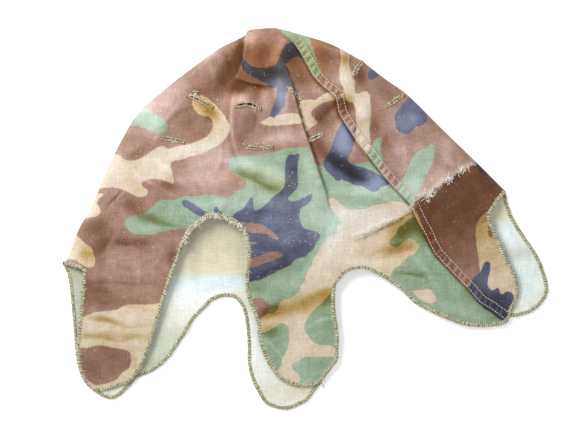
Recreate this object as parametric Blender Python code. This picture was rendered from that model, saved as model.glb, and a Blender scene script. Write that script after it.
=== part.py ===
"""Cloth cover for a combat helmet, lying flat on a table with its six flaps down.

Two half panels of one woodland-printed cloth are joined by a felled seam that runs from one
corner flap over the crown to the opposite corner flap.  Each panel carries two whole flaps
and half of each corner flap, so there are six flaps round the mouth.  The rim and the flaps
are overlocked, and twelve bound slits for foliage are cut in the crown.

Metres, +Z up.  The cover lies on z = 0 with the mouth towards -Y.  The back layer is flat on
the table and the front layer stands over it, so the inside of the cover stays open.
"""
import math

import bpy
from mathutils import Vector
from mathutils.geometry import delaunay_2d_cdt

MM = 0.001

# Driving dimensions, millimetres.
CLOTH = 0.8                # thickness of one layer of cloth
GAP = 0.6                  # half of the clearance at a flap's fold line
SEAM_GAP = 0.4             # clearance between the two panels along the seam
LAYER_GAP = 0.3            # clearance between things lying on each other
FOLD_HEIGHT = CLOTH + LAYER_GAP      # underside of the front layer at the side folds
MOUTH_HEIGHT = 8.0         # underside of the front layer along the mouth
CROWN_HEIGHT = 14.5        # underside of the front layer in the middle of the crown
TIP_HEIGHT = 3.6           # underside of a front flap at its tip
FOLD_REACH = 16.0          # distance from a side fold in which the front layer rises
CROWN_REACH = 70.0         # distance from the outline in which the crown reaches full height
EDGING_WIDTH = 3.0         # overlock stitching along the cut edges
EDGING_THICK = 1.4
EDGING_INSET = EDGING_WIDTH + LAYER_GAP
EDGING_FROM_FOLD = 1.5     # how far the edging stops short of a flap's fold line
EDGING_FROM_CORNER = 2     # edging stations left off where the two layers meet
SEAM_WIDTH = 9.5           # the felled band
SEAM_THICK = 0.8
BAND_FROM_FOLD = 3.0       # how far the band stops short of a fold line, panel side
BAND_ON_FLAP = 2.5         # and flap side
THREAD = 0.5               # thickness of a row of topstitching
STITCH_ROWS = (0.14, 0.86)           # where the two rows run across the band
STITCH_HALF = 0.05                   # half the width of a row, as a share of the band
SLIT_LENGTH = 26.0         # opening of a foliage slit
SLIT_WIDTH = 1.6
BINDING = 2.2              # width of the stitched binding round a slit
BINDING_THICK = 1.3
MESH_SPACING = 15.0        # spacing of the points inside the domed sheets
CURVE_SPACING = 10.0       # spacing of the points along the outlines
STEP = 9.0                 # spacing of the points along the seams
CENTRE = (2.288, 0.161, 0.0)         # middle of the outlines below, put at the origin

# Outlines in millimetres.  Every curve runs with the cloth on its left.
LEFT_FOLD = [(-227, -39), (-215, -10), (-202, 13), (-187, 49), (-172, 79), (-157, 102),
             (-133, 124), (-105, 145), (-82, 161), (-57, 174), (-41, 180), (-27, 181.5)]
RIGHT_FOLD = [(-27, 181.5), (-8, 176.5), (24, 166), (52, 151), (76, 133), (98, 117),
              (131, 85), (160, 56), (187, 29)]
FRONT_SEAM = [(-27, 181.5), (-21, 176), (-14, 170), (-7, 161), (-2, 152), (3, 143), (8, 135),
              (16, 126), (24, 117), (29, 108), (32, 99), (39, 87), (48, 73), (59, 60),
              (69, 46), (81, 32), (91, 22), (99, 13), (105, -1), (113, -14), (122, -32)]
FRONT_FLAP_SEAM = [(122, -32), (126, -37), (138, -50), (154, -66), (166, -79), (178, -88),
                   (186, -94)]
BACK_SEAM = [(-27, 181.5), (-35, 132), (-57, 75), (-90, 13), (-133, -44), (-149, -78)]
BACK_FLAP_SEAM = [(-149, -78), (-160, -101), (-171, -124), (-180, -146), (-186, -164)]

# Fold lines of the flaps, left end and right end.
HINGES = {
    "front_left": ((-211, -54), (-125, -50)),
    "front_middle": ((-56, -53), (29, -62)),
    "front_right": ((83, -61), (175, 4)),
    "back_left": ((-223, -74), (-93, -82)),
    "back_middle": ((-60, -83), (25, -77)),
    "back_right": ((101, -67), (197, 3)),
}

# Free edges of the flaps, from the left end of the fold line round the tip to the right end.
FLAP_EDGES = {
    "front_left": [(-211, -54), (-212, -68), (-214, -88), (-216, -108), (-217, -124),
                   (-215, -140), (-212, -151), (-205, -160), (-196, -164), (-179, -160),
                   (-166, -154), (-156, -140), (-148, -121), (-141, -99), (-134, -78),
                   (-125, -50)],
    "front_middle": [(-56, -53), (-56, -67), (-52, -81), (-46, -98), (-44, -110),
                     (-40, -127), (-33, -140), (-24, -151), (-14, -157), (-4, -159.5),
                     (6, -158.5), (15, -155), (23, -145), (30, -134), (31.5, -119),
                     (31, -104), (29, -88), (28, -74), (29, -62)],
    "back_middle": [(-60, -83), (-57, -93), (-55, -108), (-54, -125), (-54, -136),
                    (-51, -151), (-44, -166), (-38, -175), (-30, -180), (-18, -181.5),
                    (-7, -178), (2, -173), (9, -164), (16, -155), (23, -139), (25, -105),
                    (25, -77)],
    "back_right": [(101, -67), (119, -78), (152, -90), (185, -95), (205, -92), (216, -88),
                   (225, -81), (231, -71), (231, -62), (228, -51), (223, -38), (215, -25),
                   (206, -12), (197, 3)],
}
CORNER_FLAP_EDGES = {
    "front_right": ([(83, -61), (93, -69), (104, -80), (119, -87), (133, -94), (149, -100),
                     (164, -102), (178, -102), (191, -99)],
                    [(191, -99), (197, -88), (201, -78), (203, -68), (200, -55), (193, -40),
                     (186, -24), (179, -8), (175, 4)]),
    "back_left": ([(-223, -74), (-221, -95), (-219, -115), (-218, -132), (-215, -142),
                   (-205, -160), (-188, -171)],
                  [(-188, -171), (-177, -168), (-169, -161), (-159, -151), (-145, -144),
                   (-132, -134), (-122, -121), (-113, -107), (-105, -95), (-93, -82)]),
}

# Edges of the rim between the flaps, left to right.
NOTCHES = {
    "front_left_corner": [(-231, -43), (-221, -46), (-211, -54)],
    "front_left": [(-125, -50), (-121, -39), (-116, -25), (-110, -12), (-102, -5), (-92, 2),
                   (-83, 3), (-73, -1), (-63, -6), (-57, -15), (-54, -32), (-56, -53)],
    "front_right": [(29, -62), (33, -57), (40, -50), (51, -47), (60, -48), (72, -54),
                    (83, -61)],
    "front_right_corner": [(175, 4), (182, 15), (191, 25)],
    "back_left_corner": [(-231, -43), (-229, -46), (-225, -57), (-223, -74)],
    "back_left": [(-93, -82), (-89, -78), (-79, -74), (-67, -75), (-60, -83)],
    "back_right": [(25, -77), (27, -63), (35, -47), (50, -37), (66, -41), (85, -55),
                   (101, -67)],
    "back_right_corner": [(197, 3), (193, 15), (191, 25)],
}

# Foliage slits: centre and angle in degrees.
FRONT_LEFT_SLITS = [(-101, 112, -27), (-126, 75, -11), (-54, 104, 0), (-43, 68, 0),
                    (-12, 118, -40), (5, 75, 26)]
FRONT_RIGHT_SLITS = [(44, 134, 52), (79, 108, 36)]
BACK_RIGHT_SLITS = [(22, 112, 50), (62, 74, 38), (-12, 74, 48), (28, 34, 36)]

COLOURS = {
    "cloth_left": (0.33, 0.26, 0.19), "cloth_right": (0.28, 0.30, 0.20),
    "flap": (0.40, 0.32, 0.22), "edging": (0.24, 0.26, 0.13), "band": (0.30, 0.22, 0.16),
    "thread": (0.14, 0.10, 0.06), "binding": (0.52, 0.42, 0.27),
}


# ---- curves in the plane -------------------------------------------------------------------

def smooth(points, spacing):
    """Points about `spacing` apart on a smooth curve through the given points."""
    ends = [2 * Vector(points[0]) - Vector(points[1]), 2 * Vector(points[-1]) - Vector(points[-2])]
    knots = [ends[0]] + [Vector(p) for p in points] + [ends[1]]
    fine = []
    for a, b, c, d in zip(knots, knots[1:], knots[2:], knots[3:]):
        for step in range(12):
            t = step / 12
            fine.append(0.5 * (2 * b + t * (c - a) + t * t * (2 * a - 5 * b + 4 * c - d)
                               + t ** 3 * (3 * b - a - 3 * c + d)))
    fine.append(Vector(points[-1]))
    return evened(fine, spacing)


def evened(points, spacing):
    """The same line with evenly spaced points and its two ends kept."""
    lengths = [0.0]
    for a, b in zip(points, points[1:]):
        lengths.append(lengths[-1] + (b - a).length)
    count = max(2, round(lengths[-1] / spacing))
    result, at = [], 0
    for index in range(count + 1):
        target = lengths[-1] * index / count
        while at < len(points) - 2 and lengths[at + 1] < target:
            at += 1
        share = (target - lengths[at]) / max(lengths[at + 1] - lengths[at], 1e-9)
        result.append(points[at].lerp(points[at + 1], min(share, 1.0)))
    return result


def shifted(points, distance):
    """The line moved to its left by `distance`."""
    result = []
    for index, point in enumerate(points):
        before = points[max(index - 1, 0)]
        after = points[min(index + 1, len(points) - 1)]
        along = (after - before).normalized()
        result.append(point + distance * Vector((-along.y, along.x)))
    return result


def away_from_line(point, line):
    """Shortest distance from a point to a line of points."""
    best = 1e9
    for a, b in zip(line, line[1:]):
        along = b - a
        share = min(max((point - a).dot(along) / max(along.dot(along), 1e-9), 0.0), 1.0)
        best = min(best, (point - a - share * along).length)
    return best


def inside(point, loops):
    """True when the point is in the outer loop and in none of the holes."""
    odd = False
    for loop in loops:
        for a, b in zip(loop, loop[1:] + loop[:1]):
            if (a.y > point.y) != (b.y > point.y):
                if point.x < a.x + (point.y - a.y) * (b.x - a.x) / (b.y - a.y):
                    odd = not odd
    return odd


def eased(share):
    """Smooth rise from 0 to 1."""
    share = min(max(share, 0.0), 1.0)
    return share * share * (3 - 2 * share)


class Hinge:
    """Fold line of one flap: its ends, the direction out to the tip and its height."""

    def __init__(self, name):
        left, right = HINGES[name]
        self.left, self.right = Vector(left), Vector(right)
        along = (self.right - self.left).normalized()
        self.out = Vector((along.y, -along.x))
        self.top = (MOUTH_HEIGHT if name.startswith("front") else 0.0) + CLOTH

    def distance(self, point):
        return (point - self.left).dot(self.out)

    def slide(self, point, distance):
        """The point moved straight towards or away from the fold line."""
        return point + (distance - self.distance(point)) * self.out

    def origin(self):
        middle = (self.left + self.right) / 2
        return Vector((middle.x, middle.y, self.top))


FOLDS = {name: Hinge(name) for name in HINGES}


def settled(points, first, last, distance):
    """The line with its ends put at `distance` from the fold lines they meet."""
    points = list(points)
    if first:
        points[0] = first.slide(points[0], distance)
    if last:
        points[-1] = last.slide(points[-1], distance)
    return points


def reaching(points, first, last, side):
    """The cloth's edge beside an edging, carried on past its ends up to the fold lines."""
    line = settled(points, first, last, side * EDGING_FROM_FOLD)
    if first:
        line = [first.slide(line[0], side * GAP)] + line
    if last:
        line = line + [last.slide(line[-1], side * GAP)]
    return line


# ---- heights -------------------------------------------------------------------------------

SIDE_FOLD = [Vector(p) for p in LEFT_FOLD + RIGHT_FOLD[1:]]
MOUTH = [Vector(p) for name in ("front_left", "front_middle", "front_right")
         for p in HINGES[name]]


def front_height(point):
    """Underside of the front layer of the crown."""
    to_fold = away_from_line(point, SIDE_FOLD)
    rise = (MOUTH_HEIGHT - FOLD_HEIGHT) * eased(to_fold / FOLD_REACH)
    dome = eased(to_fold / CROWN_REACH) * eased(away_from_line(point, MOUTH) / CROWN_REACH)
    return FOLD_HEIGHT + rise + (CROWN_HEIGHT - MOUTH_HEIGHT) * dome


def table_height(point):
    """Underside of the back layer."""
    return 0.0


def flap_height(name):
    """Underside of a front flap: a flat slope from its fold line down to its tip."""
    fold = FOLDS[name]
    edges = FLAP_EDGES.get(name) or sum(CORNER_FLAP_EDGES[name], [])
    reach = max(fold.distance(Vector(p)) for p in edges)

    def height(point):
        return MOUTH_HEIGHT - (MOUTH_HEIGHT - TIP_HEIGHT) * fold.distance(point) / reach
    return height


# ---- meshes --------------------------------------------------------------------------------

def material(name, colour):
    made = bpy.data.materials.new(name)
    made.use_nodes = True
    shader = made.node_tree.nodes["Principled BSDF"]
    shader.inputs["Base Color"].default_value = (*colour, 1.0)
    shader.inputs["Roughness"].default_value = 0.9
    return made


def add_object(name, vertices, faces, colour, origin=None):
    """One object from millimetre vertices, its origin on the fold line when it has one."""
    origin = origin or Vector(CENTRE)
    mesh = bpy.data.meshes.new(name)
    mesh.from_pydata([(v - origin) * MM for v in vertices], [], faces)
    mesh.validate()
    mesh.update()
    mesh.materials.append(material(name + "_material", COLOURS[colour]))
    made = bpy.data.objects.new(name, mesh)
    made.location = (origin - Vector(CENTRE)) * MM
    bpy.context.scene.collection.objects.link(made)
    return made


def add_sheet(name, outline, colour, height=table_height, holes=(), ties=(), origin=None,
              filled=False):
    """A sheet of cloth: the outline less its holes, `height` giving its underside.

    `ties` are ladders of points that the sheet shares with a band lying on it."""
    points, edges = [], []
    for loop in [outline] + list(holes):
        first = len(points)
        points += loop
        edges += [(first + i, first + (i + 1) % len(loop)) for i in range(len(loop))]
    for ladder in ties:
        first = len(points)
        points += ladder
        edges += [(first + i, first + i + 1) for i in range(len(ladder) - 1)]
    if filled:
        points += grid_points(outline, holes, points)
    flat, _, triangles, *_ = delaunay_2d_cdt(points, edges, [], 0, 0.01)
    loops = [outline] + list(holes)
    kept = [t for t in triangles if inside(sum((flat[i] for i in t), Vector((0, 0))) / 3, loops)]
    return add_object(name, *closed_slab(flat, kept, height), colour, origin)


def grid_points(outline, holes, taken):
    """Points in a triangular grid, clear of the outline and of the points already there."""
    found = []
    rows = range(-14, 16)
    for row in rows:
        for column in range(-17, 18):
            point = Vector(((column + 0.5 * (row % 2)) * MESH_SPACING,
                            row * MESH_SPACING * math.sqrt(0.75)))
            if not inside(point, [outline] + list(holes)):
                continue
            if min((point - other).length for other in taken) > 0.55 * MESH_SPACING:
                found.append(point)
    return found


def closed_slab(flat, triangles, height):
    """Vertices and faces of a slab one cloth thick over the given triangles."""
    used = sorted({i for t in triangles for i in t})
    number = {old: new for new, old in enumerate(used)}
    count = len(used)
    low = [Vector((flat[i].x, flat[i].y, height(flat[i]))) for i in used]
    high = [v + Vector((0, 0, CLOTH)) for v in low]
    faces, sides = [], set()
    for triangle in triangles:
        a, b, c = (number[i] for i in triangle)
        faces.append((c, b, a))
        faces.append((a + count, b + count, c + count))
        sides |= {(a, b), (b, c), (c, a)}
    for a, b in sorted(sides):
        if (b, a) not in sides:
            faces.append((a, b, b + count))
            faces.append((a, b + count, a + count))
    return low + high, faces


def add_band(name, side, other, low, high, colour, origin=None, closed=False):
    """A strip between two lines of points in space, `other` on the left of `side`."""
    count = len(side)
    vertices = []
    for a, b in zip(side, other):
        for point, rise in ((a, low), (b, low), (b, high), (a, high)):
            vertices.append(point + Vector((0, 0, rise)))
    faces = []
    for index in range(count if closed else count - 1):
        here, there = 4 * index, 4 * ((index + 1) % count)
        for corner in range(4):
            after = (corner + 1) % 4
            quad = (here + corner, here + after, there + after, there + corner)
            start = 1 - corner // 2        # both sides of the strip are cut along one diagonal
            faces.append((quad[start], quad[start + 1], quad[(start + 2) % 4]))
            faces.append((quad[start], quad[(start + 2) % 4], quad[(start + 3) % 4]))
    if not closed:
        last = 4 * (count - 1)
        faces.append((3, 2, 1, 0))
        faces.append((last, last + 1, last + 2, last + 3))
    return add_object(name, vertices, faces, colour, origin)


def raised(points, height):
    """Plane points put on a surface."""
    return [Vector((p.x, p.y, height(p))) for p in points]


def between(side, other, share):
    return [a.lerp(b, share) for a, b in zip(side, other)]


# ---- pieces --------------------------------------------------------------------------------

def edging(name, edge, height, front, origin=None):
    """Overlock stitching round a cut edge."""
    low = -LAYER_GAP if front else 0.0
    outer = raised(edge[0], height)
    inner = raised(edge[1], height)
    add_band(name, outer, inner, low, low + EDGING_THICK, "edging", origin)


def edge_pair(points, first, last, distance):
    """Outer and inner line of the edging along a cut edge."""
    return (settled(points, first, last, distance),
            settled(shifted(points, EDGING_WIDTH), first, last, distance))


def seam(name, side, other, origin=None):
    """The felled band and its two rows of topstitching, lying on the cloth."""
    on_cloth = CLOTH + LAYER_GAP
    on_band = on_cloth + SEAM_THICK + LAYER_GAP
    add_band(name + "_felled_band", side, other, on_cloth, on_cloth + SEAM_THICK, "band", origin)
    for label, share in zip(("inner", "outer"), STITCH_ROWS):
        add_band(f"{name}_{label}_topstitch", between(side, other, share - STITCH_HALF),
                 between(side, other, share + STITCH_HALF), on_band, on_band + THREAD,
                 "thread", origin)


def stadium(slit, half_length, radius):
    """Outline of a slit, counter-clockwise."""
    x, y, angle = slit
    turn = math.radians(angle)
    along = Vector((math.cos(turn), math.sin(turn)))
    across = Vector((-along.y, along.x))
    result = []
    for end in (1, -1):
        for step in range(5):
            swing = math.radians(-90 + 45 * step)
            result.append(Vector((x, y)) + end * along * (half_length + radius * math.cos(swing))
                          + end * across * radius * math.sin(swing))
        result.append(Vector((x, y)) + across * end * radius)
    return result


def slit_hole(slit):
    radius = SLIT_WIDTH / 2 + BINDING + LAYER_GAP
    return stadium(slit, SLIT_LENGTH / 2 - SLIT_WIDTH / 2, radius)


def slit_bindings(prefix, slits, height, front):
    """Stitched bindings round the slits of one sheet."""
    half = SLIT_LENGTH / 2 - SLIT_WIDTH / 2
    low = (CLOTH - BINDING_THICK) / 2 if front else 0.0
    for number, slit in enumerate(slits, 1):
        outer = raised(stadium(slit, half, SLIT_WIDTH / 2 + BINDING), height)
        inner = raised(stadium(slit, half, SLIT_WIDTH / 2), height)
        add_band(f"{prefix}_slit_binding_{number}", outer, inner, low, low + BINDING_THICK,
                 "binding", closed=True)


def seam_line(points, fold):
    """A panel's seam edge: stations for the band, then the point at the fold line."""
    line = smooth(points, STEP)
    line[-1] = fold.slide(line[-1], -BAND_FROM_FOLD)
    return line, line + [fold.slide(line[-1], -GAP)]


def notch(name):
    return smooth(NOTCHES[name], 0.7 * CURVE_SPACING)


def panel_edge(name, first, last):
    """The cloth's edge inside the edging of one stretch of rim."""
    line = reaching(shifted(notch(name), EDGING_INSET), first, last, -1)
    if not first:
        line = line[1:]
    if not last:
        line = line[:-1]
    return line


def ladder(side, other):
    """Rungs and diagonals between two lines, as one chain of points."""
    chain = []
    for a, b in zip(side, other):
        chain += [a, b]
    return chain


def build_front_panels():
    left_fold, right_fold = smooth(LEFT_FOLD, CURVE_SPACING), smooth(RIGHT_FOLD, CURVE_SPACING)
    left, middle, right = (FOLDS["front_" + n] for n in ("left", "middle", "right"))
    stations, edge = seam_line(FRONT_SEAM, right)
    beside = [left_fold[-1] - Vector((SEAM_GAP, 0))] + shifted(edge, -SEAM_GAP)[1:-1]
    beside.append(right.slide(shifted(edge, -SEAM_GAP)[-1], -GAP))
    outline = (left_fold[:-1] + beside + panel_edge("front_right", middle, right)[::-1]
               + panel_edge("front_left", left, middle)[::-1]
               + panel_edge("front_left_corner", None, left)[::-1])
    add_sheet("left_panel_front", outline[::-1], "cloth_left", front_height,
              [slit_hole(s) for s in FRONT_LEFT_SLITS], filled=True)
    slit_bindings("left_panel_front", FRONT_LEFT_SLITS, front_height, True)

    band_edge = shifted(stations, SEAM_WIDTH)
    band_edge[-1] = right.slide(band_edge[-1], -BAND_FROM_FOLD)
    side, other = stations[2:], band_edge[2:]
    outline = edge[::-1] + right_fold[1:] + panel_edge("front_right_corner", right, None)[::-1]
    add_sheet("right_panel_front", outline[::-1], "cloth_right", front_height,
              [slit_hole(s) for s in FRONT_RIGHT_SLITS], [ladder(side, other), other],
              filled=True)
    slit_bindings("right_panel_front", FRONT_RIGHT_SLITS, front_height, True)
    seam("front_crown", raised(side, front_height), raised(other, front_height))


def build_back_panels():
    left_fold, right_fold = smooth(LEFT_FOLD, CURVE_SPACING), smooth(RIGHT_FOLD, CURVE_SPACING)
    left, middle, right = (FOLDS["back_" + n] for n in ("left", "middle", "right"))
    stations, edge = seam_line(BACK_SEAM, left)
    beside = [left_fold[-1] - Vector((SEAM_GAP, 0))] + shifted(edge, -SEAM_GAP)[1:-1]
    beside.append(left.slide(shifted(edge, -SEAM_GAP)[-1], -GAP))
    outline = (left_fold[:-1] + beside + panel_edge("back_left_corner", None, left)[::-1])
    add_sheet("left_panel_back", outline[::-1], "cloth_left")

    outline = (edge[::-1] + right_fold[1:] + panel_edge("back_right_corner", right, None)[::-1]
               + panel_edge("back_right", middle, right)[::-1]
               + panel_edge("back_left", left, middle)[::-1])
    add_sheet("right_panel_back", outline[::-1], "cloth_right", table_height,
              [slit_hole(s) for s in BACK_RIGHT_SLITS])
    slit_bindings("right_panel_back", BACK_RIGHT_SLITS, table_height, False)
    band_edge = shifted(stations, SEAM_WIDTH)
    band_edge[-1] = left.slide(band_edge[-1], -BAND_FROM_FOLD)
    seam("back_crown", raised(stations[2:], table_height), raised(band_edge[2:], table_height))


def build_rim_edging():
    """Edging of the rim between the flaps, fixed to the panels."""
    ends = {"left_corner": (None, "left"), "left": ("left", "middle"),
            "right": ("middle", "right"), "right_corner": ("right", None)}
    for layer, height in (("front", front_height), ("back", table_height)):
        for place, (first, last) in ends.items():
            line = notch(f"{layer}_{place}")
            first = FOLDS[f"{layer}_{first}"] if first else None
            last = FOLDS[f"{layer}_{last}"] if last else None
            if not first:
                line = line[EDGING_FROM_CORNER:]
            if not last:
                line = line[:-EDGING_FROM_CORNER]
            pair = edge_pair(line, first, last, -EDGING_FROM_FOLD)
            edging(f"{layer}_{place}_rim_overlock", pair, height, layer == "front")


def build_plain_flap(name):
    fold, front = FOLDS[name], name.startswith("front")
    height = flap_height(name) if front else table_height
    line = smooth(FLAP_EDGES[name], CURVE_SPACING)
    cloth = reaching(shifted(line, EDGING_INSET), fold, fold, 1)
    add_sheet(name + "_flap", cloth, "flap", height, origin=fold.origin())
    pair = edge_pair(line, fold, fold, EDGING_FROM_FOLD)
    edging(name + "_flap_overlock", pair, height, front, fold.origin())


def build_corner_flap(name, seam_points):
    """A flap made of two halves joined by the end of the crown seam."""
    fold, front = FOLDS[name], name.startswith("front")
    height = flap_height(name) if front else table_height
    left_edge, right_edge = (smooth(e, CURVE_SPACING) for e in CORNER_FLAP_EDGES[name])
    whole = left_edge + right_edge[1:]
    inset = shifted(whole, EDGING_INSET)
    tip = len(left_edge) - 1
    line = smooth(seam_points, STEP)
    line[0] = fold.slide(line[0], BAND_ON_FLAP)
    edge = [fold.slide(line[0], GAP)] + line[:-1]
    left_half = reaching(inset[:tip], fold, None, 1)
    left_half += shifted(edge, -SEAM_GAP)[::-1]
    left_half[-1] = fold.slide(left_half[-1], GAP)
    right_half = reaching(inset[tip:], None, fold, 1) + edge
    add_sheet(name + "_flap_left_half", left_half, "flap", height, origin=fold.origin())
    add_sheet(name + "_flap_right_half", right_half, "flap", height, origin=fold.origin())
    other = shifted(line[:-1], SEAM_WIDTH)
    other[0] = fold.slide(other[0], BAND_ON_FLAP)
    seam(name + "_flap", raised(line[:-1], height), raised(other, height), fold.origin())
    pair = edge_pair(whole, fold, fold, EDGING_FROM_FOLD)
    edging(name + "_flap_overlock", pair, height, front, fold.origin())


def main():
    for old in list(bpy.data.objects):
        bpy.data.objects.remove(old, do_unlink=True)
    build_back_panels()
    build_front_panels()
    build_rim_edging()
    for name in FLAP_EDGES:
        build_plain_flap(name)
    build_corner_flap("front_right", FRONT_FLAP_SEAM)
    build_corner_flap("back_left", BACK_FLAP_SEAM)


main()
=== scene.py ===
"""Looks of the camouflage helmet cover: folded printed cloth, overlocked edges, bound slits.

Drawing coordinates are millimetres seen from above; finish_mesh turns them into the shared frame.
"""
import math

import bpy
import numpy as np
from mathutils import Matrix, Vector, noise
from mathutils.geometry import delaunay_2d_cdt


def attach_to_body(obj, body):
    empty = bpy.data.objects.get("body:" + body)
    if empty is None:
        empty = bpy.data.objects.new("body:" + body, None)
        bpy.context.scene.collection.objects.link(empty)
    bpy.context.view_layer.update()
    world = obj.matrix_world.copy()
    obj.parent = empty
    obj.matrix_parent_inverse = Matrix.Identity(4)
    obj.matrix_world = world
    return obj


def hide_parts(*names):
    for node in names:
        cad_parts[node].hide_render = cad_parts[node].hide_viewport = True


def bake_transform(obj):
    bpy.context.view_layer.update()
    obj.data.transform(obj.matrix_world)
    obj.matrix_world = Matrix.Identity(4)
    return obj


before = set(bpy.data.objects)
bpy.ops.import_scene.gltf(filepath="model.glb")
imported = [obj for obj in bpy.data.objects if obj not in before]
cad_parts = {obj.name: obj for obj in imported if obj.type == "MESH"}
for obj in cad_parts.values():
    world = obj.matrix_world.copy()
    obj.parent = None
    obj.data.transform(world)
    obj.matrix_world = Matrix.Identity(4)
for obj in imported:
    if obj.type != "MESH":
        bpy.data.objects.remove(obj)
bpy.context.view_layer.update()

MM = 0.001
CENTRE = np.array([2.288, 0.161])    # drawing millimetres that sit over the origin
CLOTH = 0.6                          # thickness of the cloth
FINE, COARSE = 2.1, 3.4              # mesh spacing of the seen and the hidden layer
BLEND_IN, BLEND_OUT = 6.0, 9.0       # zone on each side of a flap's fold line

# ---- outlines, millimetres, cloth on the left ----------------------------------------------
LEFT_FOLD = [(-231, -43), (-225, -36.5), (-215, -10), (-202, 13), (-187, 49), (-172, 79),
             (-157, 102), (-133, 123.5), (-105, 145), (-82, 161.5), (-63, 171), (-57, 174),
             (-53, 179), (-41, 181), (-27.5, 181.5)]
RIGHT_FOLD = [(-27.5, 181.5), (-8.5, 176.5), (24.5, 166), (52, 151), (76, 133), (98, 117),
              (131, 84.5), (160.5, 56), (191, 25.5)]
FRONT_SEAM = [(-27.5, 181.5), (-21, 176.5), (-14, 170), (-7.5, 161.5), (-2, 152), (3, 143.5),
              (7.5, 135), (16, 125.5), (23, 120), (28.5, 115), (29.5, 108), (32, 99),
              (39, 87.5), (48.5, 73), (59, 60), (69, 46.5), (81, 32), (91, 22), (99, 13),
              (105.5, -1), (113, -14), (122.5, -33), (138, -50), (154, -66.5), (166, -80),
              (178.5, -88), (192, -98.5)]
BACK_SEAM = [(-27.5, 181.5), (-35, 132), (-57, 75), (-90, 13), (-133, -44), (-149, -78),
             (-160, -101), (-171, -124), (-180, -146), (-188, -171)]
HINGES = {
    "front_left": ((-211, -54), (-125, -50)), "front_middle": ((-56, -53), (29, -62)),
    "front_right": ((83, -61), (175, 4)), "back_left": ((-223, -74), (-93, -82)),
    "back_middle": ((-60, -83), (25, -77)), "back_right": ((101, -67), (197, 3)),
}
EDGES = {
    "front_left_corner": [(-231, -43), (-221, -45), (-213, -47.5), (-210.5, -50), (-211, -54)],
    "front_left_flap": [(-211, -54), (-212, -68), (-214, -88), (-215.5, -108), (-217.5, -124),
                        (-215.5, -140), (-212, -151), (-205, -160.5), (-196, -164),
                        (-178.5, -159.5), (-166, -154), (-156, -140), (-148, -121.5),
                        (-141, -99), (-134.5, -78), (-125, -50)],
    "front_left": [(-125, -50), (-121, -39), (-116, -25), (-110, -12), (-102.5, -5), (-92, 2),
                   (-83.5, 3), (-73, -1), (-63, -6), (-57, -15), (-54, -32), (-56, -53)],
    "front_middle_flap": [(-56, -53), (-56, -67), (-52, -81), (-45.5, -98), (-44.5, -110),
                          (-40, -127), (-33, -140.5), (-24.5, -151), (-14, -157),
                          (-4, -159.5), (6.5, -158.5), (15, -155), (23, -144.5),
                          (30.5, -134), (31.5, -119), (31, -104.5), (28.5, -88),
                          (28, -74), (29, -62)],
    "front_right": [(29, -62), (33, -57), (40, -50), (51, -47), (60, -48), (72, -54),
                    (83, -61)],
    "front_right_flap": [(83, -61), (93, -68.5), (104.5, -80), (119, -87.5), (133, -94),
                         (149, -100), (164, -102.5), (178.5, -102), (192, -98.5),
                         (196.5, -88), (201, -78), (203, -68), (200.5, -55), (193, -40),
                         (186, -24), (178.5, -8.5), (175, 4)],
    "front_right_corner": [(175, 4), (182, 15), (191, 25.5)],
    "back_left_corner": [(-231, -43), (-229, -46), (-225, -57), (-223, -74)],
    "back_left_flap": [(-223, -74), (-221, -95), (-219.5, -115), (-217.5, -132),
                       (-215, -142), (-205, -160), (-188, -171), (-177, -168), (-169, -161),
                       (-159, -151), (-145, -144.5), (-132, -134), (-122.5, -121.5),
                       (-113, -107), (-105.5, -95), (-93, -82)],
    "back_left": [(-93, -82), (-89, -78), (-79, -74), (-67.5, -75), (-60, -83)],
    "back_middle_flap": [(-60, -83), (-57, -93), (-55, -108), (-54, -125), (-54, -136),
                         (-51, -151), (-44, -166), (-38, -175), (-29.5, -179.5),
                         (-18, -181.5), (-7.5, -178), (2, -173), (9, -164), (16, -155),
                         (23, -139), (25, -105.5), (25, -77)],
    "back_right": [(25, -77), (27, -63), (35, -46.5), (50, -37), (66.5, -41), (85, -55),
                   (101, -67)],
    "back_right_flap": [(101, -67), (119, -77), (152, -90), (185, -95), (197, -93),
                        (205, -92), (216, -88), (225, -81), (231, -71), (231, -62),
                        (228, -51), (223, -38), (215, -25), (206, -12), (197, 3)],
    "back_right_corner": [(197, 3), (193, 15), (191, 25.5)],
}
ROUND = ["{}_left_corner", "{}_left_flap", "{}_left", "{}_middle_flap", "{}_right",
         "{}_right_flap", "{}_right_corner"]

# Foliage slits: centre, angle, length of the opening, how far it gapes, how far it arches.
FRONT_SLITS = {
    "left_panel_front_slit_binding_1": (-100, 112, -27, 25, 1.0, 0.6),
    "left_panel_front_slit_binding_2": (-126.5, 75, -11, 22, 0.9, 0.5),
    "left_panel_front_slit_binding_3": (-54, 105.5, -6, 22, 2.2, 3.2),
    "left_panel_front_slit_binding_4": (-43, 68, 0, 22, 1.0, -0.8),
    "left_panel_front_slit_binding_5": (-10.5, 119.5, -42, 15, 0.8, 0.5),
    "left_panel_front_slit_binding_6": (10, 77, 26, 13, 1.3, 0.4),
    "right_panel_front_slit_binding_1": (50, 142.5, 57, 16, 1.0, 0.6),
    "right_panel_front_slit_binding_2": (84.5, 112.5, 36, 19, 1.0, -0.8),
}
BACK_SLITS = {
    "right_panel_back_slit_binding_1": (22, 112, 50, 26, 1.6, 0),
    "right_panel_back_slit_binding_2": (62, 74, 38, 26, 1.6, 0),
    "right_panel_back_slit_binding_3": (-12, 74, 48, 26, 1.6, 0),
    "right_panel_back_slit_binding_4": (28, 34, 36, 26, 1.6, 0),
}
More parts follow.
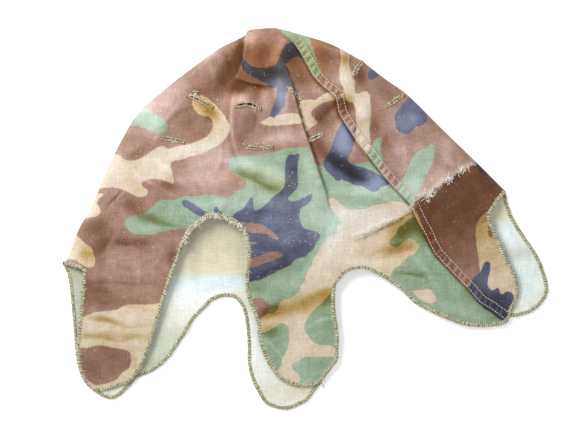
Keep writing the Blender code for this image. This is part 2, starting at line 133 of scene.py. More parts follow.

# ---- the print and its painted shade and highlight, millimetres ----------------------------
TAN = [
    [(-107, 116), (-98, 117.5), (-92, 114), (-85, 108), (-78, 100), (-72, 91), (-71, 86),
     (-74, 78), (-80, 71), (-88, 67), (-95, 63), (-103, 60.5), (-110, 59), (-118, 56),
     (-125, 55), (-127.5, 51), (-126, 44), (-124, 38), (-124, 34), (-127, 33), (-131, 36),
     (-138, 37.5), (-145, 38), (-152, 36.5), (-155, 34), (-154, 31), (-149, 27), (-151, 22),
     (-158, 21), (-163, 23), (-170, 26.5), (-178, 29), (-186, 30), (-210, 31), (-200, 62),
     (-181, 62), (-176, 60), (-172, 56.5), (-168, 55.5), (-160, 56), (-153, 59), (-147, 63),
     (-142, 67), (-137, 69), (-133, 68.5), (-130, 66.5), (-125, 68), (-117, 70), (-110, 71),
     (-103, 73), (-96, 76), (-91, 80), (-88, 85), (-87, 90), (-89, 95), (-93, 97.5),
     (-98, 98), (-101, 99.5), (-105, 104), (-107, 109)],
    [(-190, 24), (-198, 17), (-196, 12), (-194, 8), (-197, 3), (-203, 1.5), (-225, 2),
     (-215, 24)],
    [(-216, -17), (-209, -23), (-203, -27), (-200.5, -33), (-199, -40), (-201, -45),
     (-206, -46), (-211, -44), (-215, -41), (-222, -38), (-240, -40), (-230, -15)],
    [(-230, -98), (-214, -94), (-207, -91), (-199, -88.5), (-190, -87.5), (-181, -87),
     (-175, -84), (-168, -81.5), (-160, -81), (-153, -81.5), (-140, -80.5), (-120, -80),
     (-120, -175), (-230, -175)],
    [(-43, 91), (-38, 94), (-32, 97), (-27, 98), (-22, 99), (-14, 100), (-8, 100), (-5, 97),
     (-2, 93), (-4, 90.5), (-10, 90), (-20, 89), (-30, 88), (-36, 88.5)],
    [(-5, 112), (2, 113), (10, 113), (16, 117), (22, 120), (28, 119), (29, 114), (27, 112),
     (20, 111), (12, 107), (7, 103), (6, 98), (10, 94), (12, 91), (6, 87), (1, 82), (0, 84),
     (-1, 90), (-3, 98), (-6, 105)],
    [(33, 165), (34, 150), (32.5, 140), (33.5, 130), (37, 122), (33, 117), (37, 114),
     (43, 111), (47, 109), (48, 97), (49, 88), (48, 78), (48, 71), (53, 66), (58, 59),
     (61, 62), (62, 75), (61, 83), (62, 95), (62, 112), (60, 120), (55, 121), (50, 118),
     (47, 121), (47, 128), (46, 135), (43, 142), (42, 150), (42, 165)],
    [(21, 21), (27, 21), (33, 16), (40, 10), (50, 9), (58, 10), (64, 13), (76, 15), (84, 17),
     (92, 16), (100, 13), (108, 2), (114, -20), (109, -35), (94, -42), (80, -60), (80, -75),
     (40, -62), (34, -175), (-60, -175), (-60, -97.5), (-46, -97.5), (-40, -93), (-30, -85),
     (-18, -72), (-6, -60), (0, -50), (10, -34), (16, -20), (26, -8), (24, 10)],
    [(175, 9), (170, 5), (166, 1), (163, -5), (162, -14), (163, -26), (165, -36), (166, -48),
     (170, -62), (176, -78), (200, -85), (215, -70), (206, -40), (190, -5), (182, 9)],
    [(101, -68), (108, -67), (118, -66), (121, -68), (122, -71), (125, -74), (125, -78),
     (122, -80), (116, -80), (110, -77), (104, -72)],
]
GREEN = [
    [(-165, 112), (-150, 104), (-147, 103), (-143, 100), (-137, 97), (-132, 92), (-130, 88),
     (-132, 84), (-136, 81.5), (-141, 81.5), (-147, 84), (-154, 87), (-161, 89),
     (-175, 89)],
    [(-172, -4), (-170, 0), (-166, 2), (-158, 4), (-151, 6), (-147, 9), (-143, 13),
     (-139, 17), (-132, 18), (-124, 18), (-118, 20), (-113, 22), (-105, 21), (-95, 23),
     (-85, 22), (-75, 20), (-70, 22), (-65, 26), (-58, 29), (-55, 32), (-57, 36), (-62, 39),
     (-68, 42), (-72, 47), (-72, 53), (-70, 58), (-60, 59), (-50, 60), (-40, 61), (-32, 63),
     (-25, 65), (-15, 67), (-5, 67.5), (4, 66), (9, 52), (14, 40), (19, 28), (21, 17),
     (23, 12), (27, 7), (31, 3), (35, -4), (33, -7), (30, -8), (30, -12), (27, -15),
     (22, -18), (18, -22), (14, -28), (10, -36), (5, -46), (1, -52), (0, -58), (-3, -63),
     (-7, -70), (-14, -75), (-22, -78), (-24, -80), (-27, -87), (-32, -90), (-38, -90),
     (-44, -97), (-62, -98), (-64, -30), (-75, -8), (-95, -8), (-107, -9), (-115, -9),
     (-130, -11), (-145, -14.5), (-153, -15), (-160, -14), (-167, -11)],
    [(10, 52), (14, 52), (20, 50), (45, 51), (52, 52.5), (60, 54), (66, 50), (80, 34),
     (92, 22), (102, 24), (104, 12), (100, 12), (92, 16), (84, 17), (76, 15), (64, 13),
     (58, 10), (50, 9), (40, 10), (33, 15), (27, 20), (21, 20), (17, 33)],
    [(88, 33), (91, 37), (95, 42), (98, 50), (101, 57), (106, 63), (113, 67), (119, 71),
     (122, 70), (124, 66), (122, 60), (120, 52), (117, 45), (113, 38), (110, 30), (107, 24),
     (103, 19), (98, 15), (90, 24)],
    [(72, 79), (68, 76), (64, 71), (61, 64), (57, 60), (63, 54), (68, 48), (72, 52),
     (73, 58), (71, 64), (72, 72)],
    [(104, 2), (100, 1), (97, -1), (94, -5), (90, -7), (86, -14), (81, -19), (79, -23),
     (82, -25.5), (88, -26), (93, -22), (97, -19), (100, -18), (104, -21), (108, -24),
     (109, -26), (106, -30), (103, -34), (98, -35), (94, -40), (90, -44), (86, -46),
     (83, -49), (81, -55), (80, -62), (85, -90), (130, -115), (170, -118), (205, -108),
     (196, -96), (178, -88), (166, -80), (154, -66), (138, -50), (122, -32), (113, -14),
     (106, -1)],
    [(-62, -108), (-44, -108), (-38, -107.5), (-33, -105), (-28, -102), (-23, -99),
     (-19, -99.5), (-16, -103), (-15, -108), (-15, -115), (-16, -121), (-19, -128),
     (-22, -134), (-23, -139), (-25, -143), (-35, -152), (-62, -140)],
    [(42, -60), (28, -66), (25, -68), (22, -73), (18, -78), (12, -83), (6, -89), (2, -95),
     (-0.5, -101), (0, -106), (3, -111), (7, -116), (12, -119), (20, -119.5), (42, -119.5)],
    [(42, -131), (20, -131), (8, -131), (0, -131), (-3, -133), (-6, -135), (-11, -137),
     (-13, -140), (-12, -143.5), (-7, -147), (-5, -150), (-5, -156), (-6, -168),
     (42, -168)],
    [(-32, 186), (-8, 182), (3, 174), (6, 167), (9, 158), (12, 148), (15, 141), (14, 136),
     (8, 134), (3, 143), (-2, 152), (-7, 161), (-14, 170), (-21, 176)],
]
BLACK = [
    [(-57, 150), (-50, 145), (-42, 143), (-33, 144), (-28, 146), (-25, 152), (-22, 160),
     (-17, 167), (-12, 168), (-9, 164), (-4, 157), (-1, 151), (-6, 154), (-12, 153),
     (-15, 149), (-19, 146), (-21, 140), (-23, 133), (-25, 127), (-30, 123), (-36, 127),
     (-42, 131), (-48, 134), (-53, 137), (-58, 141), (-61, 147), (-60, 156)],
    [(-20, 146), (-16, 143), (-15, 136), (-14, 130), (-13, 124), (-17, 121), (-19, 116),
     (-19, 108), (-22, 104), (-26, 99), (-30, 96), (-33, 97), (-33, 101), (-30, 107),
     (-28, 112), (-27, 118), (-26, 124), (-23, 131), (-22, 138)],
    [(60, 140), (63, 143), (67, 141), (71, 138), (67, 134), (62, 132), (60, 135)],
    [(85, 97), (88, 104), (93, 109), (97, 114), (103, 116), (110, 107), (115, 101),
     (117, 97), (115, 92), (110, 89), (106, 88), (103, 85), (98, 81), (92, 81), (87, 85),
     (86, 90)],
    [(34, 90), (37, 91), (42, 84), (46, 77), (46, 70), (44, 63), (41, 58), (41, 54),
     (46, 51), (54, 49), (62, 46), (70, 42), (76, 38), (80, 33), (74, 31), (70, 28),
     (66, 26), (62, 26), (58, 29), (53, 31), (47, 32), (41, 35), (36, 37), (31, 36),
     (26, 40), (20, 46), (17, 53), (20, 59), (24, 66), (27, 74), (30, 82)],
    [(-4, 63), (-6, 58), (-7, 50), (-7, 40), (-7, 30), (-10, 26), (-14, 22), (-17, 19),
     (-12, 17), (-6, 18), (0, 21), (5, 24), (7, 24), (6, 19), (3, 14), (-3, 11), (-5, 7),
     (-5, 0), (-3, -6), (0, -9), (7, -11), (14, -14), (14, -18), (10, -24), (8, -28),
     (3, -33), (0, -36), (-9, -38), (-12, -42), (-18, -46), (-26, -49), (-33, -53),
     (-41, -57), (-50, -59), (-64, -60), (-64, -20), (-60, -8), (-68, 0), (-68, 4),
     (-64, 7), (-59, 9), (-56, 13), (-53, 18), (-50.5, 21), (-49, 16), (-48, 8), (-42, 10),
     (-36, 15), (-30, 21), (-24, 26), (-20, 30), (-19, 38), (-19, 48), (-18, 56), (-15, 61),
     (-9, 61)],
    [(-117, 16), (-115, 18), (-110, 17), (-105, 14), (-99, 10), (-92, 6), (-88, 5),
     (-90, 2), (-97, 2), (-103, 4), (-109, 8), (-115, 12)],
    [(-86, 11), (-84, 12), (-81, 8), (-77, 5), (-72, 2), (-68, 3), (-75, 0), (-80, 1),
     (-84, 4), (-86, 7)],
    [(158, 56), (164, 49), (166, 45), (171, 42.5), (182, 42), (172, 56)],
    [(154, -66), (158, -61), (160, -56), (164, -52), (167, -50), (169, -45), (171, -41),
     (174, -40), (176, -43), (176, -50), (174, -57), (174, -63), (176, -67), (179, -68),
     (181, -66), (184, -66), (186, -71), (188, -72), (191, -69.5), (195, -69), (198, -72),
     (199, -76), (197, -82), (194, -90), (200, -104), (190, -99), (178, -90), (166, -81)],
]
BROWN_OVER = [
    [(-222, -122), (-210, -123), (-203, -121.5), (-196, -119.5), (-190, -121), (-180, -123),
     (-172, -124), (-168, -125.5), (-165.5, -130), (-166, -137), (-168, -143),
     (-173, -145), (-176, -149), (-178, -152), (-184, -155), (-192, -157.5),
     (-199, -158.5), (-205, -155), (-210, -151), (-214, -146), (-222, -135)],
    [(-50, -76), (-44, -75), (-38, -77), (-34, -81), (-35, -86), (-39, -91), (-44, -97),
     (-50, -98), (-56, -90)],
    [(-60, -3), (-50, -4), (-42, -5), (-36, -8), (-31, -12), (-26, -17), (-24, -19.5),
     (-29, -19), (-35, -15), (-42, -13), (-50, -13), (-58, -11)],
    [(-58, -39), (-50, -37), (-42, -35), (-35, -32), (-28, -31), (-22, -33), (-21, -35),
     (-28, -38), (-36, -41), (-44, -44), (-50, -46), (-58, -48)],
    [(-58, -21), (-50, -22), (-42, -21.5), (-47, -24), (-55, -26.5), (-58, -27)],
    [(174, -5), (177, -9), (180, -12), (182, -16), (179, -18), (175, -17), (173.5, -12)],
]

# How faded the print is, and painted shade in its folds and hollows: centre, two radii, turn in degrees and
# amount; dark below zero, which is mostly painted shade, and paler above zero from wear.
FADING_AND_SHADE = [
    (-140, 112, 28, 16, 45, .55), (-95, 45, 45, 22, 0, .45), (-105, 88, 16, 13, 0, -.35),
    (-82, 125, 26, 9, 12, -.55), (-62, 124, 9, 5, 0, -.9), (-42, 156, 13, 11, 20, -.75),
    (-70, 146, 8, 16, -20, -.8), (-52, 172, 8, 8, 0, .5), (-25, 160, 5, 13, -30, .5),
    (-5, 140, 9, 14, 25, -.6), (-45, 122, 5, 12, -25, -.5), (-60, 112, 10, 8, 0, .6),
    (-52, 90, 7, 14, 0, -.3), (-60, 76, 7, 6, 0, -.35), (-20, 77, 26, 6, 4, .6),
    (18, 95, 10, 10, 40, -.55), (30, 108, 12, 6, 20, -.8), (40, 106, 7, 6, 0, -.8),
    (12, 70, 6, 9, 20, -.8), (10, 122, 9, 6, 0, .25), (20, 156, 11, 14, -20, -.6), (0, 168, 16, 8, -20, -.1),
    (38, 152, 5, 8, 0, -.8), (37, 136, 5, 9, 0, .6), (53, 137, 6, 8, 0, -.9),
    (54, 104, 7, 14, 0, .5), (54, 92, 7, 5, 0, -.4), (75, 120, 10, 8, 0, -.25),
    (66, 86, 5, 8, 0, -.6), (76, 71, 6, 8, 0, -.5), (100, 60, 30, 18, -40, .35),
    (142, 62, 24, 9, -45, .2), (125, 38, 14, 9, 35, .4), (38, 130, 14, 5, -20, .3),
    (-23, 115, 6, 22, 12, .7), (35, 75, 10, 16, 20, .8), (68, 37, 10, 9, 0, .75),
    (98, 95, 14, 14, 0, .35), (35, 52, 20, 6, -35, -.9), (-45, 5, 16, 6, 10, -.35),
    (-10, 48, 7, 18, 0, -.1), (-25, -18, 28, 9, 0, .25), (-38, -52, 22, 5, 20, -.55),
    (-60, 52, 22, 7, -12, .45), (-55, 43, 20, 5, -20, -.5), (-32, 29, 14, 5, -12, -.7),
    (-30, 45, 16, 5, -20, .35), (5, 45, 8, 22, 20, .25), (12, 5, 16, 20, 0, .25),
    (-85, 14, 26, 7, 0, .45), (-148, 1, 18, 5, -20, -.75), (-155, -9, 14, 4, 0, .1),
    (-15, -57, 20, 8, 25, .1), (-32, -87, 9, 5, 20, -1.1), (-47, -65, 8, 5, 0, -.4),
    (60, 27, 34, 7, 0, .6), (50, 13, 16, 5, 0, -.1), (102, 30, 12, 10, 0, .6),
    (-145, 92, 14, 10, 0, .4), (50, 2, 34, 12, 0, .8), (35, -22, 22, 16, 0, .45),
    (55, -42, 22, 7, 0, .6), (15, -45, 12, 12, 0, .3), (-12, -84, 34, 8, 16, -.85),
    (18, -70, 14, 4, 20, -.6), (12, -63, 22, 3, 5, .5), (88, -28, 18, 6, 12, -.85),
    (74, -38, 12, 7, 0, .1), (94, -10, 14, 9, 40, -1.2), (110, -8, 7, 12, 25, -1.0),
    (22, -77, 9, 6, 35, -.6), (-36, -107, 12, 6, 10, -.75), (-30, -125, 8, 14, 0, .0),
    (-8, -118, 9, 30, 0, .3), (20, -100, 9, 14, 0, -.2), (15, -126, 14, 4, 0, .2),
    (165, -70, 12, 10, 0, -.3), (185, -82, 14, 12, 0, -.6), (185, -35, 9, 26, 20, -.1),
    (170, 2, 7, 4, 40, -1.2), (112, -76, 10, 5, 0, .1), (-95, 107, 14, 6, -35, -.7),
    (-88, 98, 10, 6, -50, -.5), (-110, 65, 26, 5, 12, .45), (-140, 45, 20, 12, 0, .15),
    (-180, 47, 9, 16, -25, .35), (-175, 36, 14, 5, 0, -.15), (-125, 42, 5, 12, 0, -.4),
    (-128, 30, 16, 5, 0, -.45), (-140, 33, 14, 4, 0, -.2), (-115, 50, 10, 10, 0, -.2),
    (-185, 20, 10, 10, 30, .15), (-165, 14, 14, 6, -10, -.45), (-197, -9, 14, 11, 0, -.6),
    (-195, -28, 8, 10, -20, -.6), (-168, -22, 22, 5, 0, -.5), (-205, 5, 6, 8, 0, .4),
    (-209, -34, 7, 7, 0, -.6), (-222, -36, 7, 7, 0, .4), (-160, -45, 26, 14, 0, .2),
    (-200, -66, 16, 9, 0, -.6), (-190, -78, 24, 6, 0, -.4), (-125, -35, 6, 10, 0, -.5),
    (-190, -96, 14, 3, -10, -.8), (-200, -111, 22, 4, 0, -.5), (-160, -112, 14, 3, 0, -.35),
    (-175, -101, 26, 3, 0, .0), (-165, -92, 22, 7, 0, .15), (-175, -150, 20, 6, 20, .3),
    (-190, -140, 30, 22, 0, -.35), (-115, 120, 9, 5, 0, .2), (-165, 70, 10, 14, -30, .2),
    (-160, 62, 10, 5, 20, -.5), (-150, 108, 6, 10, -45, .5), (25, 162, 22, 3, -20, .3),
    (-38, 110, 6, 14, 0, .3), (-72, 90, 4, 30, 0, .3), (-80, 140, 14, 8, 35, -.2),
    (-90, 158, 14, 5, 35, .6), (30, -140, 20, 14, 0, -.1), (130, -60, 26, 14, -30, -.05),
    (105, -52, 20, 2.5, 0, -.35), (140, -85, 26, 6, -18, .25), (-40, 137, 22, 8, 10, -.9),
    (-14, 157, 10, 10, 0, -.9), (28, -16, 7, 22, -20, .8), (-25, 8, 34, 46, 0, .38),
    (-80, 132, 10, 7, 0, -.4), (-150, 30, 40, 3, 20, -.2), (-92, 60, 14, 30, 0, .2),
    (128, 72, 26, 8, -42, .2), (60, -10, 12, 5, 25, .5), (-24, -26, 34, 26, 0, -.4),
    (-12, 40, 9, 26, 0, -.35), (48, 42, 26, 9, -30, -.2),
]
WORN_RIGHT = [(103, 14), (108, 20), (120, 25), (135, 37), (148, 44), (158, 51), (170, 58)]
WORN_LEFT = [(46, -21), (56, -17), (66, -11), (78, -5), (88, -1), (94, 4), (101, 7)]

# Painted shade in the creases, tucks and seam groove, and painted highlight on fold edges and ridges, partly
# wear on the ridges: line, distance to its left, width, amount.
FOLD_SHADE_AND_HIGHLIGHT = [
    ([(-66, 133), (-63, 139), (-59, 152), (-57, 163), (-56.5, 172), (-56, 176)], 3.2, 4.5, -1.3),
    ([(-66, 133), (-63, 139), (-59, 152), (-57, 163), (-56.5, 172), (-56, 176)], 0.0, 1.0, .9),
    ([(-67, 133.5), (-60, 131.5), (-51, 129), (-40, 127), (-30, 125)], -2.0, 2.4, -.8),
    ([(-67, 133.5), (-60, 131.5), (-51, 129), (-40, 127), (-30, 125)], 0.6, 1.0, .6),
    ([(-20, 147), (-16, 138), (-12, 125), (-6.5, 103.5), (0, 82), (7.5, 61), (14, 41),
      (21, 20)], 1.2, 1.1, -1.1),
    ([(-20, 147), (-16, 138), (-12, 125), (-6.5, 103.5), (0, 82), (7.5, 61), (14, 41),
      (21, 20)], -0.9, 1.2, .45),
    ([(17, 62), (30, 52), (48, 40), (62, 36)], 0.0, 2.6, -.7),
    ([(6, 88), (18, 98), (30, 112)], 0.0, 2.5, -.4),
    ([(-66, 126), (-70, 100), (-68, 75), (-62, 55)], 0.0, 1.4, .45),
    ([(-66, 126), (-70, 100), (-68, 75), (-62, 55)], -3.2, 2.4, -.35),
    ([(-112, 118), (-128, 100), (-150, 62)], 0.0, 1.6, .3),
    ([(-171, 27), (-179, 19), (-188, 10)], -2.0, 1.4, -.8),
    ([(-171, 27), (-179, 19), (-188, 10)], 0.4, 0.9, .6),
    ([(-180, -8), (-188, -22), (-196, -34)], 0.0, 2.0, -.4),
    ([(-72, 46), (-50, 38), (-28, 27)], 0.0, 2.2, -.35),
    ([(84, -50), (104, -53), (128, -60)], 0.0, 1.0, -.45),
    ([(-212, -63), (-190, -60), (-160, -62), (-136, -60)], 0.0, 1.4, -.3),
    ([(-205, -96), (-190, -95), (-172, -103), (-150, -101)], 0.0, 1.4, -.35),
    ([(-214, -110), (-195, -112), (-175, -116), (-155, -110)], 0.0, 1.4, -.3),
    ([(-78, 160), (-72, 146), (-70, 132)], 0.0, 2.2, -.35),
    ([(-92, 150), (-86, 134), (-90, 118)], 0.0, 2.0, .3),
    ([(-24, -34), (-40, -32), (-54, -30)], 0.0, 1.5, .35), (FRONT_SEAM, -0.5, 0.8, -1.2),
    ([(-50, 82), (-47, 95), (-50, 104)], 0.0, 1.6, -.35),
    ([(-84, 45), (-80, 62), (-83, 84)], 0.0, 1.3, .3),
    ([(-100, 24), (-118, 36), (-135, 52), (-158, 62)], 0.0, 3.0, .3),
    ([(-165, 46), (-150, 36), (-120, 20)], 0.0, 2.0, .35),
    ([(-140, 84), (-120, 100), (-104, 108)], 0.0, 2.0, -.3),
    ([(-146, -2), (-124, -6), (-112, -8)], 0.0, 1.6, -.3),
    ([(-182, -21), (-170, -24), (-158, -23)], 0.0, 1.6, -.35),
    ([(56, 30), (70, 22), (88, 14)], 0.0, 2.0, .4),
    ([(96, -30), (112, -46), (130, -70)], 0.0, 2.0, .25),
    ([(130, 60), (144, 48)], 0.0, 3.0, .3),
    ([(0, -104), (14, -96), (28, -92)], 0.0, 1.5, .3),
    ([(-42, -110), (-28, -124), (-16, -140)], 0.0, 1.5, .3),
]
# Warm tone painted for the shade in folds and hollows: centre, radii, amount.
WARM_SHADE = [
    (-42, 152, 22, 24, 1.0), (8, 156, 18, 26, 1.2), (-22, 148, 14, 14, 1.0), (-68, 128, 12, 14, .6),
    (22, -76, 26, 12, .35), (95, -14, 12, 16, .6), (30, 104, 14, 10, .5),
    (-55, 42, 24, 8, .7), (-30, 31, 16, 6, .8), (-205, -36, 12, 10, .3),
    (-92, 107, 14, 8, .7), (75, -34, 24, 14, .3), (-145, -80, 40, 12, .3),
]

# Soft folds: line, height, reach to the left and right of it.
FOLDS = [
    ([(-66, 126), (-70, 100), (-68, 75), (-62, 55)], 1.9, 6, 10),
    ([(-33, 128), (-38, 112), (-37, 98)], 1.4, 6, 5),
    ([(-50, 122), (-48, 112)], -1.2, 5, 5),
    ([(-66, 103), (-60, 109), (-50, 110), (-43, 105)], 2.6, 5, 3),
    ([(-54, 100), (-52, 88), (-56, 76)], -1.3, 6, 6),
    ([(-112, 118), (-128, 100), (-150, 62)], 1.5, 8, 8),
    ([(-96, 92), (-118, 80), (-140, 60)], -1.0, 9, 9),
    ([(-150, 92), (-162, 72), (-170, 55)], -1.2, 7, 7),
    ([(-170, 27), (-178, 20), (-188, 10)], 1.8, 2.5, 2.0),
    ([(-172, 24), (-180, 16), (-190, 6)], -1.4, 2.2, 2.2),
    ([(-188, 8), (-196, -4), (-205, -8)], 1.2, 5, 4),
    ([(-180, -8), (-188, -22), (-196, -34)], -1.5, 4, 5),
    ([(-172, -4), (-182, -18), (-190, -32)], 1.4, 4, 5),
    ([(-182, -21), (-170, -24), (-158, -23)], -1.1, 4, 4),
    ([(-130, 12), (-145, 0), (-160, 2)], -0.9, 5, 5),
    ([(-72, 46), (-50, 38), (-28, 27)], -1.2, 5, 5),
    ([(-70, 56), (-48, 48), (-26, 38)], 0.9, 5, 5),
    ([(17, 62), (30, 52), (48, 40), (62, 36)], -2.6, 4, 6),
    ([(24, 68), (40, 58), (58, 50)], 1.6, 5, 6),
    ([(20, 36), (45, 22), (75, 20)], 1.0, 7, 6),
    ([(6, 88), (18, 98), (30, 112)], -2.2, 4.5, 4.5),
    ([(-2, 98), (12, 110), (26, 118)], 1.3, 4, 4),
    ([(33, 117), (42, 110), (50, 108)], -2.0, 4, 4),
    ([(30, 122), (42, 118), (52, 116)], 1.7, 4, 4),
    ([(48, 116), (56, 104), (58, 90)], 1.5, 5, 5),
    ([(66, 98), (64, 86), (66, 74)], -1.1, 5, 5),
    ([(12, 166), (22, 150), (24, 140)], -1.6, 8, 8),
    ([(36, 160), (36, 140), (40, 126)], 1.7, 5, 6),
    ([(50, 146), (54, 134), (50, 124)], -1.3, 5, 5),
    ([(62, 132), (72, 116), (82, 100)], 0.9, 7, 7),
    ([(-45, 168), (-46, 150), (-40, 144)], 1.3, 7, 6),
    ([(-30, 172), (-34, 158), (-30, 148)], -1.2, 5, 5),
    ([(-78, 160), (-72, 146), (-70, 132)], -1.6, 8, 6),
    ([(-92, 150), (-86, 134), (-90, 118)], 1.2, 8, 8),
    ([(4, 132), (-4, 146), (-10, 158)], -1.1, 6, 6),
    ([(102, 18), (122, 29), (146, 46), (168, 60)], 1.3, 7, 2.5),
    ([(46, -19), (70, -9), (100, 8)], 1.0, 6, 2.2),
    ([(50, -24), (74, -15), (98, -2)], -0.9, 4, 5),
    ([(0, -66), (16, -69), (32, -64)], -1.6, 5, 4),
    ([(-20, -60), (8, -60), (30, -56)], 1.0, 6, 5),
    ([(-50, -86), (-20, -80), (10, -76)], -0.8, 5, 5),
    ([(-212, -63), (-190, -60), (-160, -62), (-136, -60)], -0.9, 4, 4),
    ([(-212, -72), (-190, -70), (-170, -78)], -0.7, 3, 3),
    ([(-205, -96), (-190, -95), (-172, -103), (-150, -101)], -0.8, 3, 4),
    ([(-214, -110), (-195, -112), (-175, -116), (-155, -110)], -0.8, 4, 4),
    ([(-200, -126), (-180, -140)], 0.5, 5, 5),
    ([(84, -50), (104, -53), (128, -60)], -0.8, 2.5, 3),
    ([(84, -56), (104, -58)], 0.6, 2.5, 3),
    ([(130, 30), (150, 28), (172, 30)], -0.7, 6, 6),
    ([(160, 20), (150, -10), (152, -40)], 0.7, 9, 9),
    ([(-24, -34), (-40, -32), (-54, -30)], 0.8, 5, 5),
    ([(-30, 2), (-45, 4), (-60, 4)], -1.3, 5, 5),
    ([(30, -48), (45, -36), (70, -30)], 0.8, 9, 9),
    ([(-110, 40), (-90, 32), (-72, 34)], 0.7, 8, 8),
    ([(-84, 45), (-80, 62), (-83, 84)], 1.0, 3, 4),
    ([(-52, 44), (-48, 30), (-52, 16)], 0.9, 3, 4),
    ([(-100, 24), (-118, 36), (-135, 52)], 1.0, 3, 4),
    ([(-40, -20), (-20, -30), (0, -44)], 0.8, 4, 5),
    ([(-36, -70), (-20, -96), (-14, -120)], 0.7, 5, 5),
    ([(10, -90), (16, -112), (10, -140)], 0.7, 4, 5),
    ([(110, 70), (124, 58), (150, 40)], 0.8, 4, 4),
    ([(72, 96), (84, 76), (100, 60)], 0.8, 4, 5),
    ([(-200, -70), (-196, -110), (-190, -146)], 0.6, 5, 6),
    ([(-86, -2), (-84, 14), (-80, 34)], 0.6, 4, 4),
]
# Sharp tucks: line, rise and reach on its left, drop and reach on its right.
TUCKS = [
    ([(-22, 150), (-20, 147), (-16, 138), (-12, 125), (-6.5, 103.5), (0, 82), (7.5, 61),
      (14, 41), (21, 20), (26, 2)], -2.4, 9, 3.0, 14),
    ([(-66, 133), (-63, 139), (-59, 152), (-57, 163), (-56.5, 172), (-56, 176)], -3.0, 7,
     3.0, 10),
    ([(-67, 133.5), (-60, 131.5), (-51, 129), (-40, 127), (-30, 125)], 3.0, 8, -2.4, 6),
]


# ---- plane geometry ------------------------------------------------------------------------
def smooth(points, spacing):
    """A rounded line through the points, with points of its own at an even spacing."""
    p = np.array(points, float)
    p = np.vstack([2 * p[0] - p[1], p, 2 * p[-1] - p[-2]])
    fine = []
    for a, b, c, d in zip(p, p[1:], p[2:], p[3:]):
        for t in np.arange(0, 1, 1 / 16):
            fine.append(0.5 * (2 * b + t * (c - a) + t * t * (2 * a - 5 * b + 4 * c - d)
                               + t ** 3 * (3 * b - a - 3 * c + d)))
    fine = np.array(fine + [p[-2]])
    return even(fine, spacing)


def even(line, spacing):
    """The line with its points at an even spacing."""
    run = np.concatenate([[0], np.cumsum(np.linalg.norm(np.diff(line, axis=0), axis=1))])
    at = np.linspace(0, run[-1], max(2, round(run[-1] / spacing)) + 1)
    return np.column_stack([np.interp(at, run, line[:, k]) for k in range(line.shape[1])])


def normals(line):
    d = np.gradient(line, axis=0)
    d /= np.linalg.norm(d, axis=1, keepdims=True) + 1e-12
    return np.column_stack([-d[:, 1], d[:, 0]])


def steady_normals(line, reach):
    """Normals averaged over `reach` points on each side, so that a tight bend doesn't cross them."""
    n = normals(line)
    window = np.ones(2 * reach + 1) / (2 * reach + 1)
    n = np.column_stack([np.convolve(np.pad(n[:, k], reach, "edge"), window, "valid")
                         for k in (0, 1)])
    return n / np.linalg.norm(n, axis=1, keepdims=True)


def near(points, line):
    """Signed distance (left positive) to a line of points, and how far along it (0 to 1)."""
    line = np.asarray(line, float)
    best = np.full(len(points), 1e9)
    side, along = np.zeros(len(points)), np.zeros(len(points))
    for k, (a, b) in enumerate(zip(line, line[1:])):
        d = b - a
        rel = points - a
        raw = rel @ d / (d @ d + 1e-12)
        t = np.clip(raw, 0, 1)
        dist = np.linalg.norm(rel - t[:, None] * d, axis=1)
        closer = dist < best
        best = np.where(closer, dist, best)
        side = np.where(closer, np.sign(d[0] * rel[:, 1] - d[1] * rel[:, 0]), side)
        along = np.where(closer, (k + t) / (len(line) - 1), along)
    return best * np.where(side == 0, 1, side), along


def contains(points, loop):
    """Which points lie inside a closed loop."""
    x, y = points[:, 0], points[:, 1]
    odd = np.zeros(len(points), bool)
    for a, b in zip(loop, np.roll(loop, -1, axis=0)):
        if a[1] == b[1]:
            continue
        cross = (a[1] > y) != (b[1] > y)
        odd ^= cross & (x < a[0] + (y - a[1]) * (b[0] - a[0]) / (b[1] - a[1]))
    return odd


def depth(points, loops):
    """How far inside any of the loops each point is; negative outside them all."""
    best = np.full(len(points), -60.0)
    for loop in loops:
        loop = smooth(loop + [loop[0]], 2.5)[:-1]
        low, high = loop.min(axis=0) - 12, loop.max(axis=0) + 12
        pick = np.all((points > low) & (points < high), axis=1)
        if pick.any():
            some = points[pick]
            dist = np.abs(near(some, np.vstack([loop, loop[:1]]))[0])
            best[pick] = np.maximum(best[pick], np.where(contains(some, loop), dist, -dist))
    return best


def rise(x):
    """Smooth step from 0 to 1."""
    x = np.clip(x, 0, 1)
    return x * x * (3 - 2 * x)


def bumps(points, size, seed, octaves=2):
    """Smooth noise over the plane, from about -1 to 1."""
    return np.array([noise.fractal(Vector((x / size, y / size, seed)), 0.6, 2.1, octaves)
                     for x, y in points])


class Fold:
    """Fold line of a flap."""

    def __init__(self, name):
        self.name = name
        self.left, self.right = (np.array(p, float) for p in HINGES[name])
        self.length = np.linalg.norm(self.right - self.left)
        self.along = (self.right - self.left) / self.length
        self.out = np.array([self.along[1], -self.along[0]])
        self.reach = max((np.array(EDGES[name + "_flap"]) - self.left) @ self.out)

    def distance(self, points):
        return (points - self.left) @ self.out

    def holds(self, points):
        across = (points - self.left) @ self.along
        return ((self.distance(points) > -BLEND_IN) & (across > -16)
                & (across < self.length + 16))

    def line(self):
        start = self.left - 30 * self.along - BLEND_IN * self.out
        return np.array([start, start + (self.length + 60) * self.along])


FLAPS = {name: Fold(name) for name in HINGES}
SEAM = {"front": smooth(FRONT_SEAM, 1.6), "back": smooth(BACK_SEAM, 3.0)}
SIDE = np.vstack([smooth(LEFT_FOLD, 4), smooth(RIGHT_FOLD, 4)[1:]])
MOUTH = np.array([p for n in ("front_left", "front_middle", "front_right") for p in HINGES[n]],
                 float)


